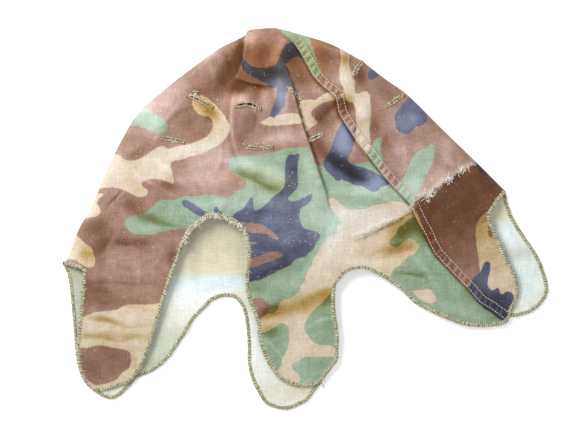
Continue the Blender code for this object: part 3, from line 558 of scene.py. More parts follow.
def front_top(points):
    """Outside of the front layer, millimetres above the table."""
    to_fold = np.abs(near(points, SIDE)[0])
    to_mouth = np.abs(near(points, MOUTH)[0])
    z = 1.7 + 6.6 * np.sqrt(np.clip(1 - (1 - np.clip(to_fold / 20, 0, 1)) ** 2, 0, 1))
    dome = rise(to_fold / 75) * rise(to_mouth / 75)
    z = z + 5.0 * dome
    body = rise(to_fold / 14)
    for name in ("front_left", "front_middle", "front_right"):
        flap = FLAPS[name]
        out = flap.distance(points)
        across = (points - flap.left) @ flap.along
        mine = (out > 0) & (across > -20) & (across < flap.length + 32)
        share = np.clip(out / flap.reach, 0, 1)
        slope = 8.4 - 4.6 * share ** 1.1 + 0.9 * np.sin(share * 7 + len(name)) * share
        z = np.where(mine, slope, z)
        body = np.where(mine, 0.8, body)
    for line, height, left, right in FOLDS:
        line = smooth(line, 4)
        d, t = near(points, line)
        taper = np.sin(np.pi * np.clip(t, 0.02, 0.98)) ** 0.6
        z += body * height * taper * np.exp(-(d / np.where(d > 0, left, right)) ** 2)
    for line, rise_left, reach_left, rise_right, reach_right in TUCKS:
        line = smooth(line, 4)
        d, t = near(points, line)
        taper = rise(t * 4) * rise((1 - t) * 4)
        left = rise_left * np.exp(-np.abs(d) / reach_left)
        right = rise_right * np.exp(-np.abs(d) / reach_right)
        step = np.clip(d / 0.45, -1, 1)
        inside = (t > 0.001) & (t < 0.999)
        mix = left * (step + 1) / 2 + right * (1 - step) / 2
        z += np.where(inside, body * taper * mix, 0)
    d, t = near(points, SEAM["front"])
    z -= 1.3 * np.exp(-np.abs(d) / 1.3) * (d < 0.3) * np.clip(to_fold / 5, 0, 1)
    z += body * (0.55 * bumps(points, 26, 3.1) + 0.2 * bumps(points, 7, 8.2))
    z -= body * (1.5 * np.abs(bumps(points * (1.0, 0.55), 17, 12.3, 1))
                 + 0.8 * np.abs(bumps(points * (0.7, 1.0), 11, 21.9, 1)) - 0.5)
    for centre in FRONT_SLITS.values():
        z += 0.35 * np.exp(-((points - centre[:2]) ** 2).sum(axis=1) / 90)
    return np.maximum(z, 1.6)


def back_bottom(points):
    """Outside (underside) of the back layer."""
    to_fold = np.abs(near(points, SIDE)[0])
    z = 0.35 + 0.5 * (bumps(points, 30, 5.5) + 0.9) * rise(to_fold / 12)
    for line, height, reach in BACK_FOLDS:
        d, t = near(points, smooth(line, 4))
        z += height * np.sin(np.pi * t) ** 0.6 * np.exp(-(d / reach) ** 2)
    return np.clip(z, 0.05, 3.0)


BACK_FOLDS = [
    ([(-110, -62), (-90, -60), (-66, -58)], 1.2, 6), ([(-104, -10), (-104, -40)], 0.8, 4),
    ([(-97, -5), (-98, -20), (-95, -34)], -0.8, 2), ([(-120, -90), (-112, -110)], 0.7, 6),
    ([(180, 0), (196, -14), (204, -40)], 0.8, 5), ([(206, -24), (216, -50)], 0.7, 5),
    ([(190, -26), (200, -30), (216, -34)], 0.7, 4), ([(-48, -120), (-46, -150)], 0.8, 4),
    ([(-30, -168), (-5, -168)], 0.6, 4),
]


# ---- sheets --------------------------------------------------------------------------------
def outline(layer, spacing):
    """Corners and edges of one layer, counter-clockwise from the left corner."""
    parts = [smooth(EDGES[n.format(layer)], spacing) for n in ROUND]
    parts += [smooth(RIGHT_FOLD, spacing)[::-1], smooth(LEFT_FOLD, spacing)[::-1]]
    return parts


def slit_loop(slit, grow=0.0, count=9):
    """Outline of a slit, widened by `grow`."""
    x, y, angle, length, gape, arch = slit
    t = np.linspace(-1, 1, count)
    half = (length + 2 * grow) / 2
    body = np.sqrt(np.clip(1 - np.abs(t) ** 3.5, 0, 1))
    bow = arch * (1 - t ** 2)
    upper = np.column_stack([t * half, bow + body * (gape / 2 + grow)])
    lower = np.column_stack([t * half, bow - body * (gape / 2 + grow)])
    loop = np.vstack([lower, upper[::-1][1:-1]])
    a = math.radians(angle)
    turn = np.array([[math.cos(a), math.sin(a)], [-math.sin(a), math.cos(a)]])
    return loop @ turn + (x, y)


def triangulate(layer, spacing, slits):
    edges_2d = outline(layer, spacing)
    loop = np.vstack([part[:-1] for part in edges_2d])
    chains = [SEAM[layer]]
    chains += [even(f.line(), spacing) for n, f in FLAPS.items() if n.startswith(layer)]
    if layer == "front":
        for tuck in TUCKS:
            line = smooth(tuck[0], 2.0)
            n = normals(line)
            chains += [line + 0.45 * n, line - 0.45 * n]
        n = normals(SEAM["front"])
        chains.append((SEAM["front"] - 1.3 * n)[6:-3])
    holes = [slit_loop(s) for s in slits.values()]
    points, links = [], []
    for closed, line in [(True, loop)] + [(True, h) for h in holes] + [(False, c) for c in chains]:
        first, count = len(points), len(line)
        points += list(line)
        links += [(first + i, first + (i + 1) % count) for i in range(count if closed else count - 1)]
    fixed = np.array(points)
    xs = np.arange(-235, 235, spacing)
    ys = np.arange(-185, 185, spacing * 0.866)
    grid = np.array([(x + (j % 2) * spacing / 2, y) for j, y in enumerate(ys) for x in xs])
    grid = grid[contains(grid, loop)]
    keep = np.ones(len(grid), bool)
    for start in range(0, len(grid), 2000):
        part = grid[start:start + 2000]
        gaps = ((part[:, None, :] - fixed[None, :, :]) ** 2).sum(axis=2).min(axis=1)
        keep[start:start + 2000] = gaps > (0.55 * spacing) ** 2
    grid = grid[keep]
    everything = [Vector(p) for p in fixed] + [Vector(p) for p in grid]
    flat, _, tris, *_ = delaunay_2d_cdt(everything, links, [], 0, 1e-4)
    flat = np.array([tuple(p) for p in flat])
    tris = np.array([t for t in tris])
    middle = flat[tris].mean(axis=1)
    good = contains(middle, loop)
    for hole in holes:
        good &= ~contains(middle, hole)
    return flat, tris[good], middle[good]


def finish_mesh(name, verts, faces, mats, face_mats=None, values=None, colours=None):
    """An object from millimetre vertices in drawing coordinates."""
    verts = np.asarray(verts, float).copy()
    verts[:, :2] -= CENTRE
    mesh = bpy.data.meshes.new(name)
    mesh.from_pydata((verts * MM).tolist(), [], [tuple(int(i) for i in f) for f in faces])
    mesh.validate()
    for mat in mats:
        mesh.materials.append(mat)
    if face_mats is not None:
        mesh.polygons.foreach_set("material_index", np.asarray(face_mats, dtype=np.int32))
    for key, data in (values or {}).items():
        attribute = mesh.attributes.new(key, "FLOAT", "POINT")
        attribute.data.foreach_set("value", np.asarray(data, dtype=np.float32))
    for key, data in (colours or {}).items():
        attribute = mesh.attributes.new(key, "FLOAT_COLOR", "POINT")
        rgba = np.column_stack([data, np.ones(len(data))]).astype(np.float32)
        attribute.data.foreach_set("color", rgba.ravel())
    mesh.polygons.foreach_set("use_smooth", [True] * len(mesh.polygons))
    mesh.update()
    obj = bpy.data.objects.new(name, mesh)
    bpy.context.scene.collection.objects.link(obj)
    return obj


def thicken(obj, inner, rim):
    """Makes the cloth solid, inwards from its outside."""
    solid = obj.modifiers.new("cloth", "SOLIDIFY")
    solid.thickness = CLOTH * MM
    solid.offset = -1
    solid.material_offset = inner
    solid.material_offset_rim = rim
    bpy.context.view_layer.update()
    graph = bpy.context.evaluated_depsgraph_get()
    mesh = bpy.data.meshes.new_from_object(obj.evaluated_get(graph))
    obj.modifiers.clear()
    old, obj.data = obj.data, mesh
    bpy.data.meshes.remove(old)
    loops_edge = [loop.edge_index for loop in mesh.loops]
    for face in mesh.polygons:
        if face.material_index in (2, 5):
            face.use_smooth = False
            for k in face.loop_indices:
                mesh.edges[loops_edge[k]].use_edge_sharp = True


def print_values(points):
    """Everything the printed side's material needs at each point."""
    over = depth(points, BROWN_OVER)
    worn_right = near(points, WORN_RIGHT)[0] + 1.2 * bumps(points, 5, 9.1)
    worn_left, along = near(points, WORN_LEFT)
    # Paler where the print has faded from wear, darker where shade is painted into folds and hollows.
    fade_and_shade = np.full(len(points), 0.04)
    for x, y, a, b, turn, amount in FADING_AND_SHADE:
        r = math.radians(turn)
        dx, dy = points[:, 0] - x, points[:, 1] - y
        u, v = dx * math.cos(r) + dy * math.sin(r), -dx * math.sin(r) + dy * math.cos(r)
        fade_and_shade += amount * np.exp(-((u / a) ** 2 + (v / b) ** 2) ** 1.15)
    # Painted shade and painted highlight along the folds, tucks and seam.
    for line, offset, width, amount in FOLD_SHADE_AND_HIGHLIGHT:
        d, t = near(points, smooth(line, 4))
        taper = np.sin(np.pi * np.clip(t, 0.02, 0.98)) ** 0.5 * (t > 0.0005) * (t < 0.9995)
        fade_and_shade += amount * taper * np.exp(-((d - offset) / width) ** 2)
    # Warm tint of the painted shade in the folds.
    warm_shade = np.zeros(len(points))
    for x, y, a, b, amount in WARM_SHADE:
        warm_shade += amount * np.exp(-((points[:, 0] - x) / a) ** 2 - ((points[:, 1] - y) / b) ** 2)
    below = (points[:, 0] > 98) & (near(points, SEAM["front"])[0] > -1)
    fade_and_shade -= 1.0 * below * rise(0.5 - worn_right / 2.0) * rise(1.25 + worn_right / 85)
    fade_and_shade += 0.6 * (points[:, 0] > 98) * np.exp(-((worn_right - 2.4) / 2.4) ** 2)
    patchy = 0.6 + 0.8 * bumps(points, 8, 6.6)
    stripe = np.exp(-((worn_left + 1.2) / 1.6) ** 2) * (along > 0.01) * (along < 0.99)
    fade_and_shade -= 1.2 * stripe * patchy
    fade_and_shade += 0.5 * np.exp(-((worn_left - 3.5) / 2.5) ** 2) * (along > 0.01)
    return {
        "tan": np.minimum(depth(points, TAN), -over),
        "green": np.minimum(depth(points, GREEN), -np.maximum(over, depth(points, TAN[-1:]))),
        "black": np.minimum(depth(points, BLACK), -over),
        "fade_and_shade": fade_and_shade,
        "warm_shade": np.clip(warm_shade, 0, 1),
    }


INSIDE = [
    # centre, radii, colour, strength; the dark entries along the sides and top of the notch and beside the
    # front left flap's inner edge are painted shadow under those edges
    (-85, -18, 24, 16, (.58, .52, .33), 1.0), (-90, -44, 26, 10, (.72, .64, .42), 1.0),
    (-88, -62, 34, 7, (.72, .90, 1.0), 1.1), (-85, -70, 34, 6, (.95, 1.0, 1.0), 1.1),
    (-112, -76, 16, 9, (.95, 1.0, .98), 1.0), (-120, -95, 16, 10, (.80, .80, .72), .8),
    (-128, -118, 18, 14, (.50, .58, .44), 1.0), (-142, -140, 20, 8, (.42, .44, .28), 1.0),
    (188, 4, 9, 8, (.68, .66, .42), 1.0), (192, -14, 12, 12, (.80, .96, 1.0), 1.0),
    (204, -32, 14, 6, (.58, .62, .58), 1.0), (212, -56, 14, 20, (.74, .88, .87), 1.0),
    (-47, -125, 9, 26, (.86, .92, .92), 1.0), (-30, -160, 30, 10, (.78, .77, .70), 1.0),
    (-218, -90, 8, 40, (.50, .56, .48), 1.0), (-222, -52, 6, 14, (.38, .36, .18), 1.0),
    (-66, -74, 8, 6, (.60, .50, .25), .9), (-10, -164, 26, 4, (.62, .54, .32), .8),
    (-104, -30, 5, 26, (.42, .40, .28), .7), (-62, -30, 5, 20, (.52, .48, .32), .6),
]


# Tints of the inside of the cloth, with the painted shadow listed above.
def inside_colour(points):
    total = np.full((len(points), 1), 0.25)
    colour = np.tile((.78, .79, .72), (len(points), 1)) * 0.25
    for x, y, a, b, rgb, strength in INSIDE:
        w = strength * np.exp(-(((points[:, 0] - x) / a) ** 2 + ((points[:, 1] - y) / b) ** 2))
        total += w[:, None]
        colour += w[:, None] * np.array(rgb)
    return colour / total


# ---- materials -----------------------------------------------------------------------------
class Tree:
    """Small helper for building node materials."""

    def __init__(self, name, roughness=0.9):
        self.mat = bpy.data.materials.new(name)
        self.mat.use_nodes = True
        self.nodes, self.links = self.mat.node_tree.nodes, self.mat.node_tree.links
        self.shader = self.nodes["Principled BSDF"]
        self.shader.inputs["Roughness"].default_value = roughness
        self.shader.inputs["Specular IOR Level"].default_value = 0.15
        self.place = self.node("ShaderNodeTexCoord").outputs["Object"]

    def node(self, kind, **settings):
        made = self.nodes.new(kind)
        for key, value in settings.items():
            setattr(made, key, value)
        return made

    def join(self, output, socket):
        if isinstance(output, (int, float)):
            socket.default_value = output
        elif isinstance(output, tuple):
            socket.default_value = (*output, 1.0) if len(output) == 3 else output
        else:
            self.links.new(output, socket)

    def value(self, name):
        return self.node("ShaderNodeAttribute", attribute_name=name).outputs["Fac"]

    def colour(self, name):
        return self.node("ShaderNodeAttribute", attribute_name=name).outputs["Color"]

    def noise(self, scale, detail=2.0, rough=0.5):
        made = self.node("ShaderNodeTexNoise")
        self.join(self.place, made.inputs["Vector"])
        made.inputs["Scale"].default_value = scale
        made.inputs["Detail"].default_value = detail
        made.inputs["Roughness"].default_value = rough
        return made.outputs["Fac"]

    def weave(self, low, high):
        """Grey that varies as the warp and weft of the cloth do."""
        total = 0.0
        for stretch in ((900.0, 110.0, 300.0), (110.0, 900.0, 300.0)):
            scaled = self.node("ShaderNodeVectorMath", operation="MULTIPLY")
            self.join(self.place, scaled.inputs[0])
            scaled.inputs[1].default_value = stretch
            grain = self.node("ShaderNodeTexNoise")
            self.join(scaled.outputs[0], grain.inputs["Vector"])
            grain.inputs["Scale"].default_value = 1.0
            total = self.math("ADD", grain.outputs["Fac"], total)
        grey = self.node("ShaderNodeCombineColor")
        for socket in grey.inputs:
            self.join(self.spread(total, .7, 1.3, low, high), socket)
        return grey.outputs[0]

    def math(self, kind, a, b=0.0, c=0.0):
        made = self.node("ShaderNodeMath", operation=kind)
        for value, socket in zip((a, b, c), made.inputs):
            self.join(value, socket)
        return made.outputs[0]

    def spread(self, value, low, high, out_low=0.0, out_high=1.0):
        made = self.node("ShaderNodeMapRange")
        for v, key in ((value, "Value"), (low, "From Min"), (high, "From Max"),
                       (out_low, "To Min"), (out_high, "To Max")):
            self.join(v, made.inputs[key])
        return made.outputs[0]

    def mix(self, share, a, b, kind="MIX"):
        made = self.node("ShaderNodeMix", data_type="RGBA", blend_type=kind)
        self.join(share, made.inputs[0])
        self.join(a, made.inputs[6])
        self.join(b, made.inputs[7])
        return made.outputs[2]

    def ramp(self, value, stops):
        made = self.node("ShaderNodeValToRGB")
        ramp = made.color_ramp
        while len(ramp.elements) < len(stops):
            ramp.elements.new(0.5)
        for element, (place, rgb) in zip(ramp.elements, stops):
            element.position = place
            element.color = (*rgb, 1.0)
        self.join(value, made.inputs[0])
        return made.outputs[0]

    def bump(self, height, distance, strength=1.0):
        made = self.node("ShaderNodeBump")
        made.inputs["Distance"].default_value = distance
        made.inputs["Strength"].default_value = strength
        self.join(height, made.inputs["Height"])
        self.links.new(made.outputs[0], self.shader.inputs["Normal"])

    def done(self, colour):
        self.join(colour, self.shader.inputs["Base Color"])
        return self.mat


def srgb(r, g, b):
    """Linear colour of an ordinary 0-255 one."""
    return tuple(((c / 255 + 0.055) / 1.055) ** 2.4 for c in (r, g, b))


PRINT = {
    "brown": [(0.0, srgb(104, 66, 42)), (.30, srgb(136, 99, 80)), (.55, srgb(168, 134, 119)),
              (.80, srgb(205, 175, 166)), (1.0, srgb(226, 202, 194))],
    "tan": [(0.0, srgb(160, 126, 66)), (.25, srgb(186, 162, 108)), (.52, srgb(218, 200, 174)),
            (.78, srgb(230, 217, 201)), (1.0, srgb(238, 229, 220))],
    "green": [(0.0, srgb(92, 94, 42)), (.25, srgb(122, 134, 92)), (.50, srgb(150, 172, 146)),
              (.78, srgb(186, 204, 186)), (1.0, srgb(204, 222, 212))],
    "black": [(0.0, srgb(50, 48, 52)), (.28, srgb(66, 68, 86)), (.52, srgb(98, 100, 122)),
              (.78, srgb(136, 143, 166)), (1.0, srgb(154, 166, 190))],
}


def printed_cloth(name):
    t = Tree(name)
    wobble = t.math("MULTIPLY_ADD", t.noise(260.0, 3.0), 2.2, -1.1)
    # The print's fading and its painted shade, with some random tone added.
    fade_and_shade = t.math("ADD", t.value("fade_and_shade"), t.spread(t.noise(70.0, 3.0), .3, .7, -.16, .16))
    fade_and_shade = t.math("ADD", fade_and_shade, t.spread(t.noise(600.0, 2.0), .25, .75, -.14, .14))
    share = t.spread(fade_and_shade, -1.0, 1.0)
    colour = t.ramp(share, PRINT["brown"])
    for key in ("tan", "green", "black"):
        edge = t.math("ADD", t.value(key), wobble)
        colour = t.mix(t.spread(edge, -.45, .45), colour, t.ramp(share, PRINT[key]))
    # Warm tint painted where the folds are in shade.
    colour = t.mix(t.value("warm_shade"), colour, t.mix(1.0, colour, (1.12, .93, .62), "MULTIPLY"))
    colour = t.mix(1.0, colour, t.weave(0.68, 0.90), "MULTIPLY")
    lint = t.spread(t.math("MULTIPLY", t.noise(900.0, 2.0), t.noise(210.0, 1.0)), .43, .47)
    colour = t.mix(t.math("MULTIPLY", lint, 0.4), colour, srgb(230, 222, 212))
    t.shader.inputs["Sheen Weight"].default_value = 0.15
    t.bump(t.noise(1100.0, 3.0, .6), 0.0006, 0.7)
    return t.done(colour)


def under_cloth(name):
    """Printed side of the hidden layer: the same print with a free pattern."""
    t = Tree(name)
    share = t.spread(t.noise(45.0, 3.0), .3, .7, .25, .75)
    colour = t.ramp(share, PRINT["brown"])
    for key, scale, limit in (("tan", 21.0, .55), ("green", 17.0, .53), ("black", 23.0, .60)):
        patch = t.noise(scale, 2.5, .55)
        colour = t.mix(t.spread(patch, limit, limit + .008), colour, t.ramp(share, PRINT[key]))
    t.bump(t.noise(1100.0, 3.0, .6), 0.0005, 0.5)
    return t.done(colour)


def inner_cloth(name):
    t = Tree(name)
    colour = t.mix(t.spread(t.noise(120.0, 3.0), .3, .7, 0, .22), t.colour("inside"),
                   srgb(208, 200, 172))
    colour = t.mix(1.0, colour, t.weave(0.78, 0.98), "MULTIPLY")
    t.bump(t.noise(1100.0, 3.0, .6), 0.0004, 0.5)
    return t.done(colour)


def threads(name, dark, light, pale, scale=420.0):
    """Stitching: `rib` is 0 in the gaps and 1 on the threads."""
    t = Tree(name, 0.8)
    tone = t.ramp(t.noise(scale, 3.0, .6), [(.28, dark), (.5, light), (.72, pale)])
    gap = t.spread(t.value("rib"), .05, .75)
    colour = t.mix(gap, srgb(78, 72, 50), tone)
    t.bump(t.noise(1500.0, 2.0), 0.0004, 0.5)
    return t.done(colour)


def plain(name, dark, light, scale=300.0, roughness=0.85):
    t = Tree(name, roughness)
    return t.done(t.ramp(t.noise(scale, 3.0), [(.3, dark), (.7, light)]))


OUTER = printed_cloth("printed_cloth")
UNDER = under_cloth("printed_cloth_underside")
INNER = inner_cloth("inside_of_cloth")
RAW = plain("cloth_edge", srgb(170, 160, 130), srgb(214, 206, 182))
OVERLOCK = threads("overlock_thread", srgb(112, 108, 78), srgb(178, 174, 146),
                   srgb(222, 218, 196))
BINDING = threads("buttonhole_thread", srgb(104, 84, 54), srgb(172, 154, 120),
                  srgb(220, 206, 182), 700.0)
TOPSTITCH = plain("topstitch_thread", srgb(196, 172, 156), srgb(236, 218, 206))
DARK_THREAD = plain("loose_brown_thread", srgb(110, 70, 44), srgb(150, 104, 74))
FUZZ = plain("worn_white_threads", srgb(226, 216, 200), srgb(250, 246, 238))


# ---- cloth pieces --------------------------------------------------------------------------
def split(layer, middle):
    """Which piece each triangle belongs to."""
    names = np.full(len(middle), "", dtype=object)
    right = near(middle, SEAM[layer])[0] > 0
    names[right], names[~right] = "right_panel", "left_panel"
    for name, flap in FLAPS.items():
        if not name.startswith(layer):
            continue
        mine = flap.holds(middle)
        if name in ("front_right", "back_left"):
            names[mine & right] = name + "_flap_right_half"
            names[mine & ~right] = name + "_flap_left_half"
        else:
            names[mine] = name + "_flap"
    return names


def bend(obj):
    """Bakes the object's transform into its mesh; the cloth is not bent."""
    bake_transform(obj)


def flap_of(piece):
    for name, flap in FLAPS.items():
        if piece.startswith(name + "_flap"):
            return flap
    return None


def build_cloth():
    pieces, layers = {}, {}
    for layer, spacing, slits in (("front", FINE, FRONT_SLITS), ("back", COARSE, BACK_SLITS)):
        flat, tris, middle = triangulate(layer, spacing, slits)
        u, v = flat[tris[:, 1]] - flat[tris[:, 0]], flat[tris[:, 2]] - flat[tris[:, 0]]
        clockwise = u[:, 0] * v[:, 1] - u[:, 1] * v[:, 0] < 0
        tris[clockwise] = tris[clockwise][:, ::-1]
        layers[layer] = (flat, tris, split(layer, middle))
    for layer, (flat, tris, names) in layers.items():
        height = front_top(flat) if layer == "front" else back_bottom(flat)
        for name in sorted(set(names)):
            if name.endswith("_panel"):
                continue
            used, local = np.unique(tris[names == name], return_inverse=True)
            local = local.reshape(-1, 3)
            pieces[name] = make_sheet(name, flat[used], height[used], local, layer)
    for name in ("left_panel", "right_panel"):
        pieces[name] = make_panel(name, layers)
    return pieces


def make_sheet(name, flat, height, local, layer):
    front = layer == "front"
    faces = local if front else local[:, ::-1]
    mats = [OUTER, INNER, RAW] if front else [UNDER, INNER, RAW]
    values = print_values(flat)
    obj = finish_mesh(name + "_cloth", np.column_stack([flat, height]), faces, mats, values=values,
                      colours={"inside": inside_colour(flat)})
    thicken(obj, 1, 2)
    return obj


def roll(line, out, high, low):
    """Rows of points where the cloth turns down round a side fold, from the front to the back."""
    centre, radius = (high + low) / 2, (high - low) / 2
    for turn in (45, 90, 135):
        a = math.radians(turn)
        yield np.column_stack([line + out * (radius * math.sin(a))[:, None],
                               centre + radius * math.cos(a)])


def strip(row, other):
    """Triangles between two rows of points of unequal count that run side by side."""
    faces, j = [], 0
    run, other_run = np.linspace(0, 1, len(row)), np.linspace(0, 1, len(other))
    for i in range(len(row) - 1):
        while j < len(other) - 1 and other_run[j + 1] <= run[i] + 1e-9:
            faces.append([row[i], other[j], other[j + 1]])
            j += 1
        faces.append([row[i], other[j], row[i + 1]])
    while j < len(other) - 1:
        faces.append([row[-1], other[j], other[j + 1]])
        j += 1
    return faces


def make_panel(name, layers):
    """A half panel: its front part, the roll of cloth round the side fold and its back part."""
    fold = LEFT_FOLD if name.startswith("left") else RIGHT_FOLD
    verts, faces, face_mats, rows = [], [], [], []
    count = 0
    for layer, surface_of, spacing, mat in (("front", front_top, FINE, 0),
                                            ("back", back_bottom, COARSE, 3)):
        flat, tris, names = layers[layer]
        used, local = np.unique(tris[names == name], return_inverse=True)
        local = local.reshape(-1, 3) + count
        points = flat[used]
        verts.append(np.column_stack([points, surface_of(points)]))
        faces += (local if layer == "front" else local[:, ::-1]).tolist()
        face_mats += [mat] * len(local)
        line = smooth(fold, spacing)
        rows.append([int(np.argmin(((points - p) ** 2).sum(axis=1))) + count for p in line])
        count += len(points)
    base = np.vstack(verts)
    line = smooth(fold, FINE)
    out = normals(line)
    low = np.interp(np.linspace(0, 1, len(line)), np.linspace(0, 1, len(rows[1])),
                    base[rows[1], 2])
    rings = [rows[0]]
    for ring in roll(line, out, base[rows[0], 2], low):
        rings.append(list(range(count, count + len(line))))
        base = np.vstack([base, ring])
        count += len(line)
    turned = [[a[i], b[i], b[i + 1], a[i + 1]]
              for a, b in zip(rings, rings[1:]) for i in range(len(line) - 1)]
    turned += strip(rings[-1], rows[1])
    p = base[turned[0][:3]]
    if np.dot(np.cross(p[1] - p[0], p[2] - p[0]), np.append(out[0], 0)) < 0:
        turned = [face[::-1] for face in turned]
    face_mats += [0] * len(turned)
    flat = base[:, :2]
    obj = finish_mesh(name + "_cloth", base, faces + turned,
                      [OUTER, INNER, RAW, UNDER, INNER, RAW], face_mats,
                      values=print_values(flat), colours={"inside": inside_colour(flat)})
    thicken(obj, 1, 2)
    return obj


cloth = build_cloth()


# ---- stitching -----------------------------------------------------------------------------
rng = np.random.default_rng(11)


class Mesh:
    """Gathers several runs of geometry into one object."""

    def __init__(self):
        self.verts, self.faces, self.mats, self.rib = [], [], [], []

    def rings(self, rings, rib, mat=0, closed=False):
        """Joins rings of equal count into a tube with flat ends."""
        first, count = len(self.verts), len(rings[0])
        for ring, value in zip(rings, rib):
            self.verts += [tuple(p) for p in ring]
            self.rib += list(np.broadcast_to(value, count))
        total = len(rings)
        for i in range(total if closed else total - 1):
            a, b = first + i * count, first + ((i + 1) % total) * count
            for k in range(count):
                n = (k + 1) % count
                self.faces.append((a + k, a + n, b + n, b + k))
                self.mats.append(mat)
        if not closed:
            end = first + (total - 1) * count
            self.faces += [tuple(range(first + count - 1, first - 1, -1)),
                           tuple(range(end, end + count))]
            self.mats += [mat, mat]

    def hair(self, line, radius, mat):
        """A loose thread along a line of points."""
        line = np.asarray(line, float)
        d = np.gradient(line, axis=0)
        d /= np.linalg.norm(d, axis=1, keepdims=True) + 1e-9
        side = np.cross(d, (0, 0, 1))
        side /= np.linalg.norm(side, axis=1, keepdims=True) + 1e-9
        up = np.cross(side, d)
        rings = [[p + radius * (math.cos(a) * s + math.sin(a) * u) for a in
                  (0.5, 2.6, 4.7)] for p, s, u in zip(line, side, up)]
        self.rings(rings, [0.8] * len(rings), mat)

    def make(self, name, mats):
        values = {"rib": self.rib}
        flat = np.asarray(self.verts, float)[:, :2]
        if mats[0] is OUTER or mats[0] is UNDER:
            values.update(print_values(flat))
            # On printed cloth the rib values are the band's painted shade and highlight, which darken or
            # lighten the print.
            values["fade_and_shade"] = values["fade_and_shade"] + np.array(self.rib)
        return finish_mesh(name, self.verts, self.faces, mats, self.mats, values)


def surface(layer, points):
    return front_top(points) if layer == "front" else back_bottom(points)


def edging(layer, edge):
    """Overlock stitches wrapped round a cut edge, with the fuzz that stands off them."""
    out = Mesh()
    line = smooth(edge, 0.62)
    n = steady_normals(line, 4)
    run = np.arange(len(line)) * 0.62
    drift = 1.4 * bumps(np.column_stack([run, run * 0]), 9, 2.2)
    width = 2.05 + 0.3 * bumps(np.column_stack([run, run * 0]), 5, 7.7)
    centre = line + 1.35 * n
    up = 1.0 if layer == "front" else -1.0
    level = surface(layer, line + 1.6 * n) - up * CLOTH / 2
    angles = np.linspace(0, 2 * np.pi, 10, endpoint=False)
    rings, ribs = [], []
    for i in range(len(line)):
        phase = 2 * np.pi * (run[i] + drift[i]) / 2.35 + 1.1 * np.cos(angles)
        rib = 0.5 + 0.5 * np.cos(phase)
        w = width[i] * (0.84 + 0.18 * rib) * np.cos(angles)
        h = (0.52 + 0.55 * rib) * np.sin(angles)
        rings.append(np.column_stack([centre[i, 0] - n[i, 0] * w, centre[i, 1] - n[i, 1] * w,
                                      np.maximum(level[i] + h, 0.0)]))
        ribs.append(np.clip(rib * 1.25 + 0.1, 0, 1))
    out.rings(rings, ribs)
    tips = 1 + 3 * np.exp(-((run - run[-1] / 2) / 22) ** 2) * (run[-1] > 200)
    odds = tips / tips.sum()
    count = int(len(line) * 0.11 * tips.mean())
    for i in rng.choice(len(line), count, replace=False, p=odds):
        outward = rng.random() < 0.6
        base = centre[i] - n[i] * (width[i] if outward else -width[i]) * 0.8
        turn = rng.normal(0, 0.7)
        heading = (-n[i] if outward else n[i]) * math.cos(turn) + \
            np.array([-n[i][1], n[i][0]]) * math.sin(turn)
        reach = rng.uniform(0.8, 2.6)
        curl = rng.normal(0, 0.5, 2)
        z = max(level[i] + (0.5 if outward else 0.9), 0.3)
        steps = [np.array([*(base + heading * reach * s + curl * s * s), z + 0.5 * s])
                 for s in (0, 0.35, 0.7, 1.0)]
        out.hair(steps, rng.uniform(0.10, 0.2), 0 if outward else 1)
    return out


def band(layer, first, last):
    """Strip of cloth felled over the seam, puckered by its stitching."""
    line = SEAM[layer]
    n = steady_normals(line, 5)
    fine = even(np.column_stack([line, n])[first:last], 1.1)
    line, n = fine[:, :2], fine[:, 2:]
    run = np.arange(len(line)) * 1.1
    up = 1.0 if layer == "front" else -1.0
    offsets = np.array([0.15, 0.5, 1.4, 2.6, 4.0, 5.4, 6.8, 8.0, 8.9, 9.4])
    crown = np.array([0.15, 0.75, 0.85, 0.75, 0.95, 1.0, 0.8, 0.7, 0.55, 0.1])
    wave = np.array([0.0, 0.2, 0.25, 0.9, 1.0, 1.0, 0.9, 0.3, 0.2, 0.0])
    rings, ribs = [], []
    base_line = line + 4.5 * n
    irregular = bumps(base_line, 9, 4.4)
    tops = line[:, None, :] + offsets[None, :, None] * n[:, None, :]
    heights = surface(layer, tops.reshape(-1, 2)).reshape(len(line), -1)
    for i in range(len(line)):
        top, z = tops[i], heights[i]
        pucker = np.cos(2 * np.pi * (run[i] + 2.5 * irregular[i] + 0.25 * offsets) / 6.3)
        high = z + up * (crown + 0.42 * wave * pucker * (0.7 + irregular[i]))
        low = z - up * 0.15
        rings.append(np.vstack([np.column_stack([top, high]),
                                np.column_stack([top, low])[::-1]]))
        # Painted shade in the pucker hollows and a painted dark line for the shadow in the groove at the
        # seam's edge; the paler pucker tops are partly wear and partly painted highlight.
        shade = 0.38 * wave * pucker - 0.9 * (offsets < 0.3)
        ribs.append(np.concatenate([shade, shade[::-1]]))
    out = Mesh()
    out.rings(rings, ribs)
    return out, line, n


def stitches(layer, line, n, offset, lift):
    """A row of stitches beside the seam."""
    out = Mesh()
    row = even(line + offset * n, 3.0)
    height = surface(layer, row)
    up = 1.0 if layer == "front" else -1.0
    for i in range(len(row) - 1):
        d = row[i + 1] - row[i]
        jitter = rng.normal(0, 0.12, 2)
        a, b = row[i] + d * 0.12 + jitter, row[i] + d * 0.88 + jitter
        z = (height[i] + height[i + 1]) / 2 + up * lift
        points = [np.array([*(a + (b - a) * s), z + up * h]) for s, h in
                  ((0, -0.35), (0.25, 0.0), (0.75, 0.0), (1, -0.35))]
        out.hair(points, 0.34, 0)
    return out


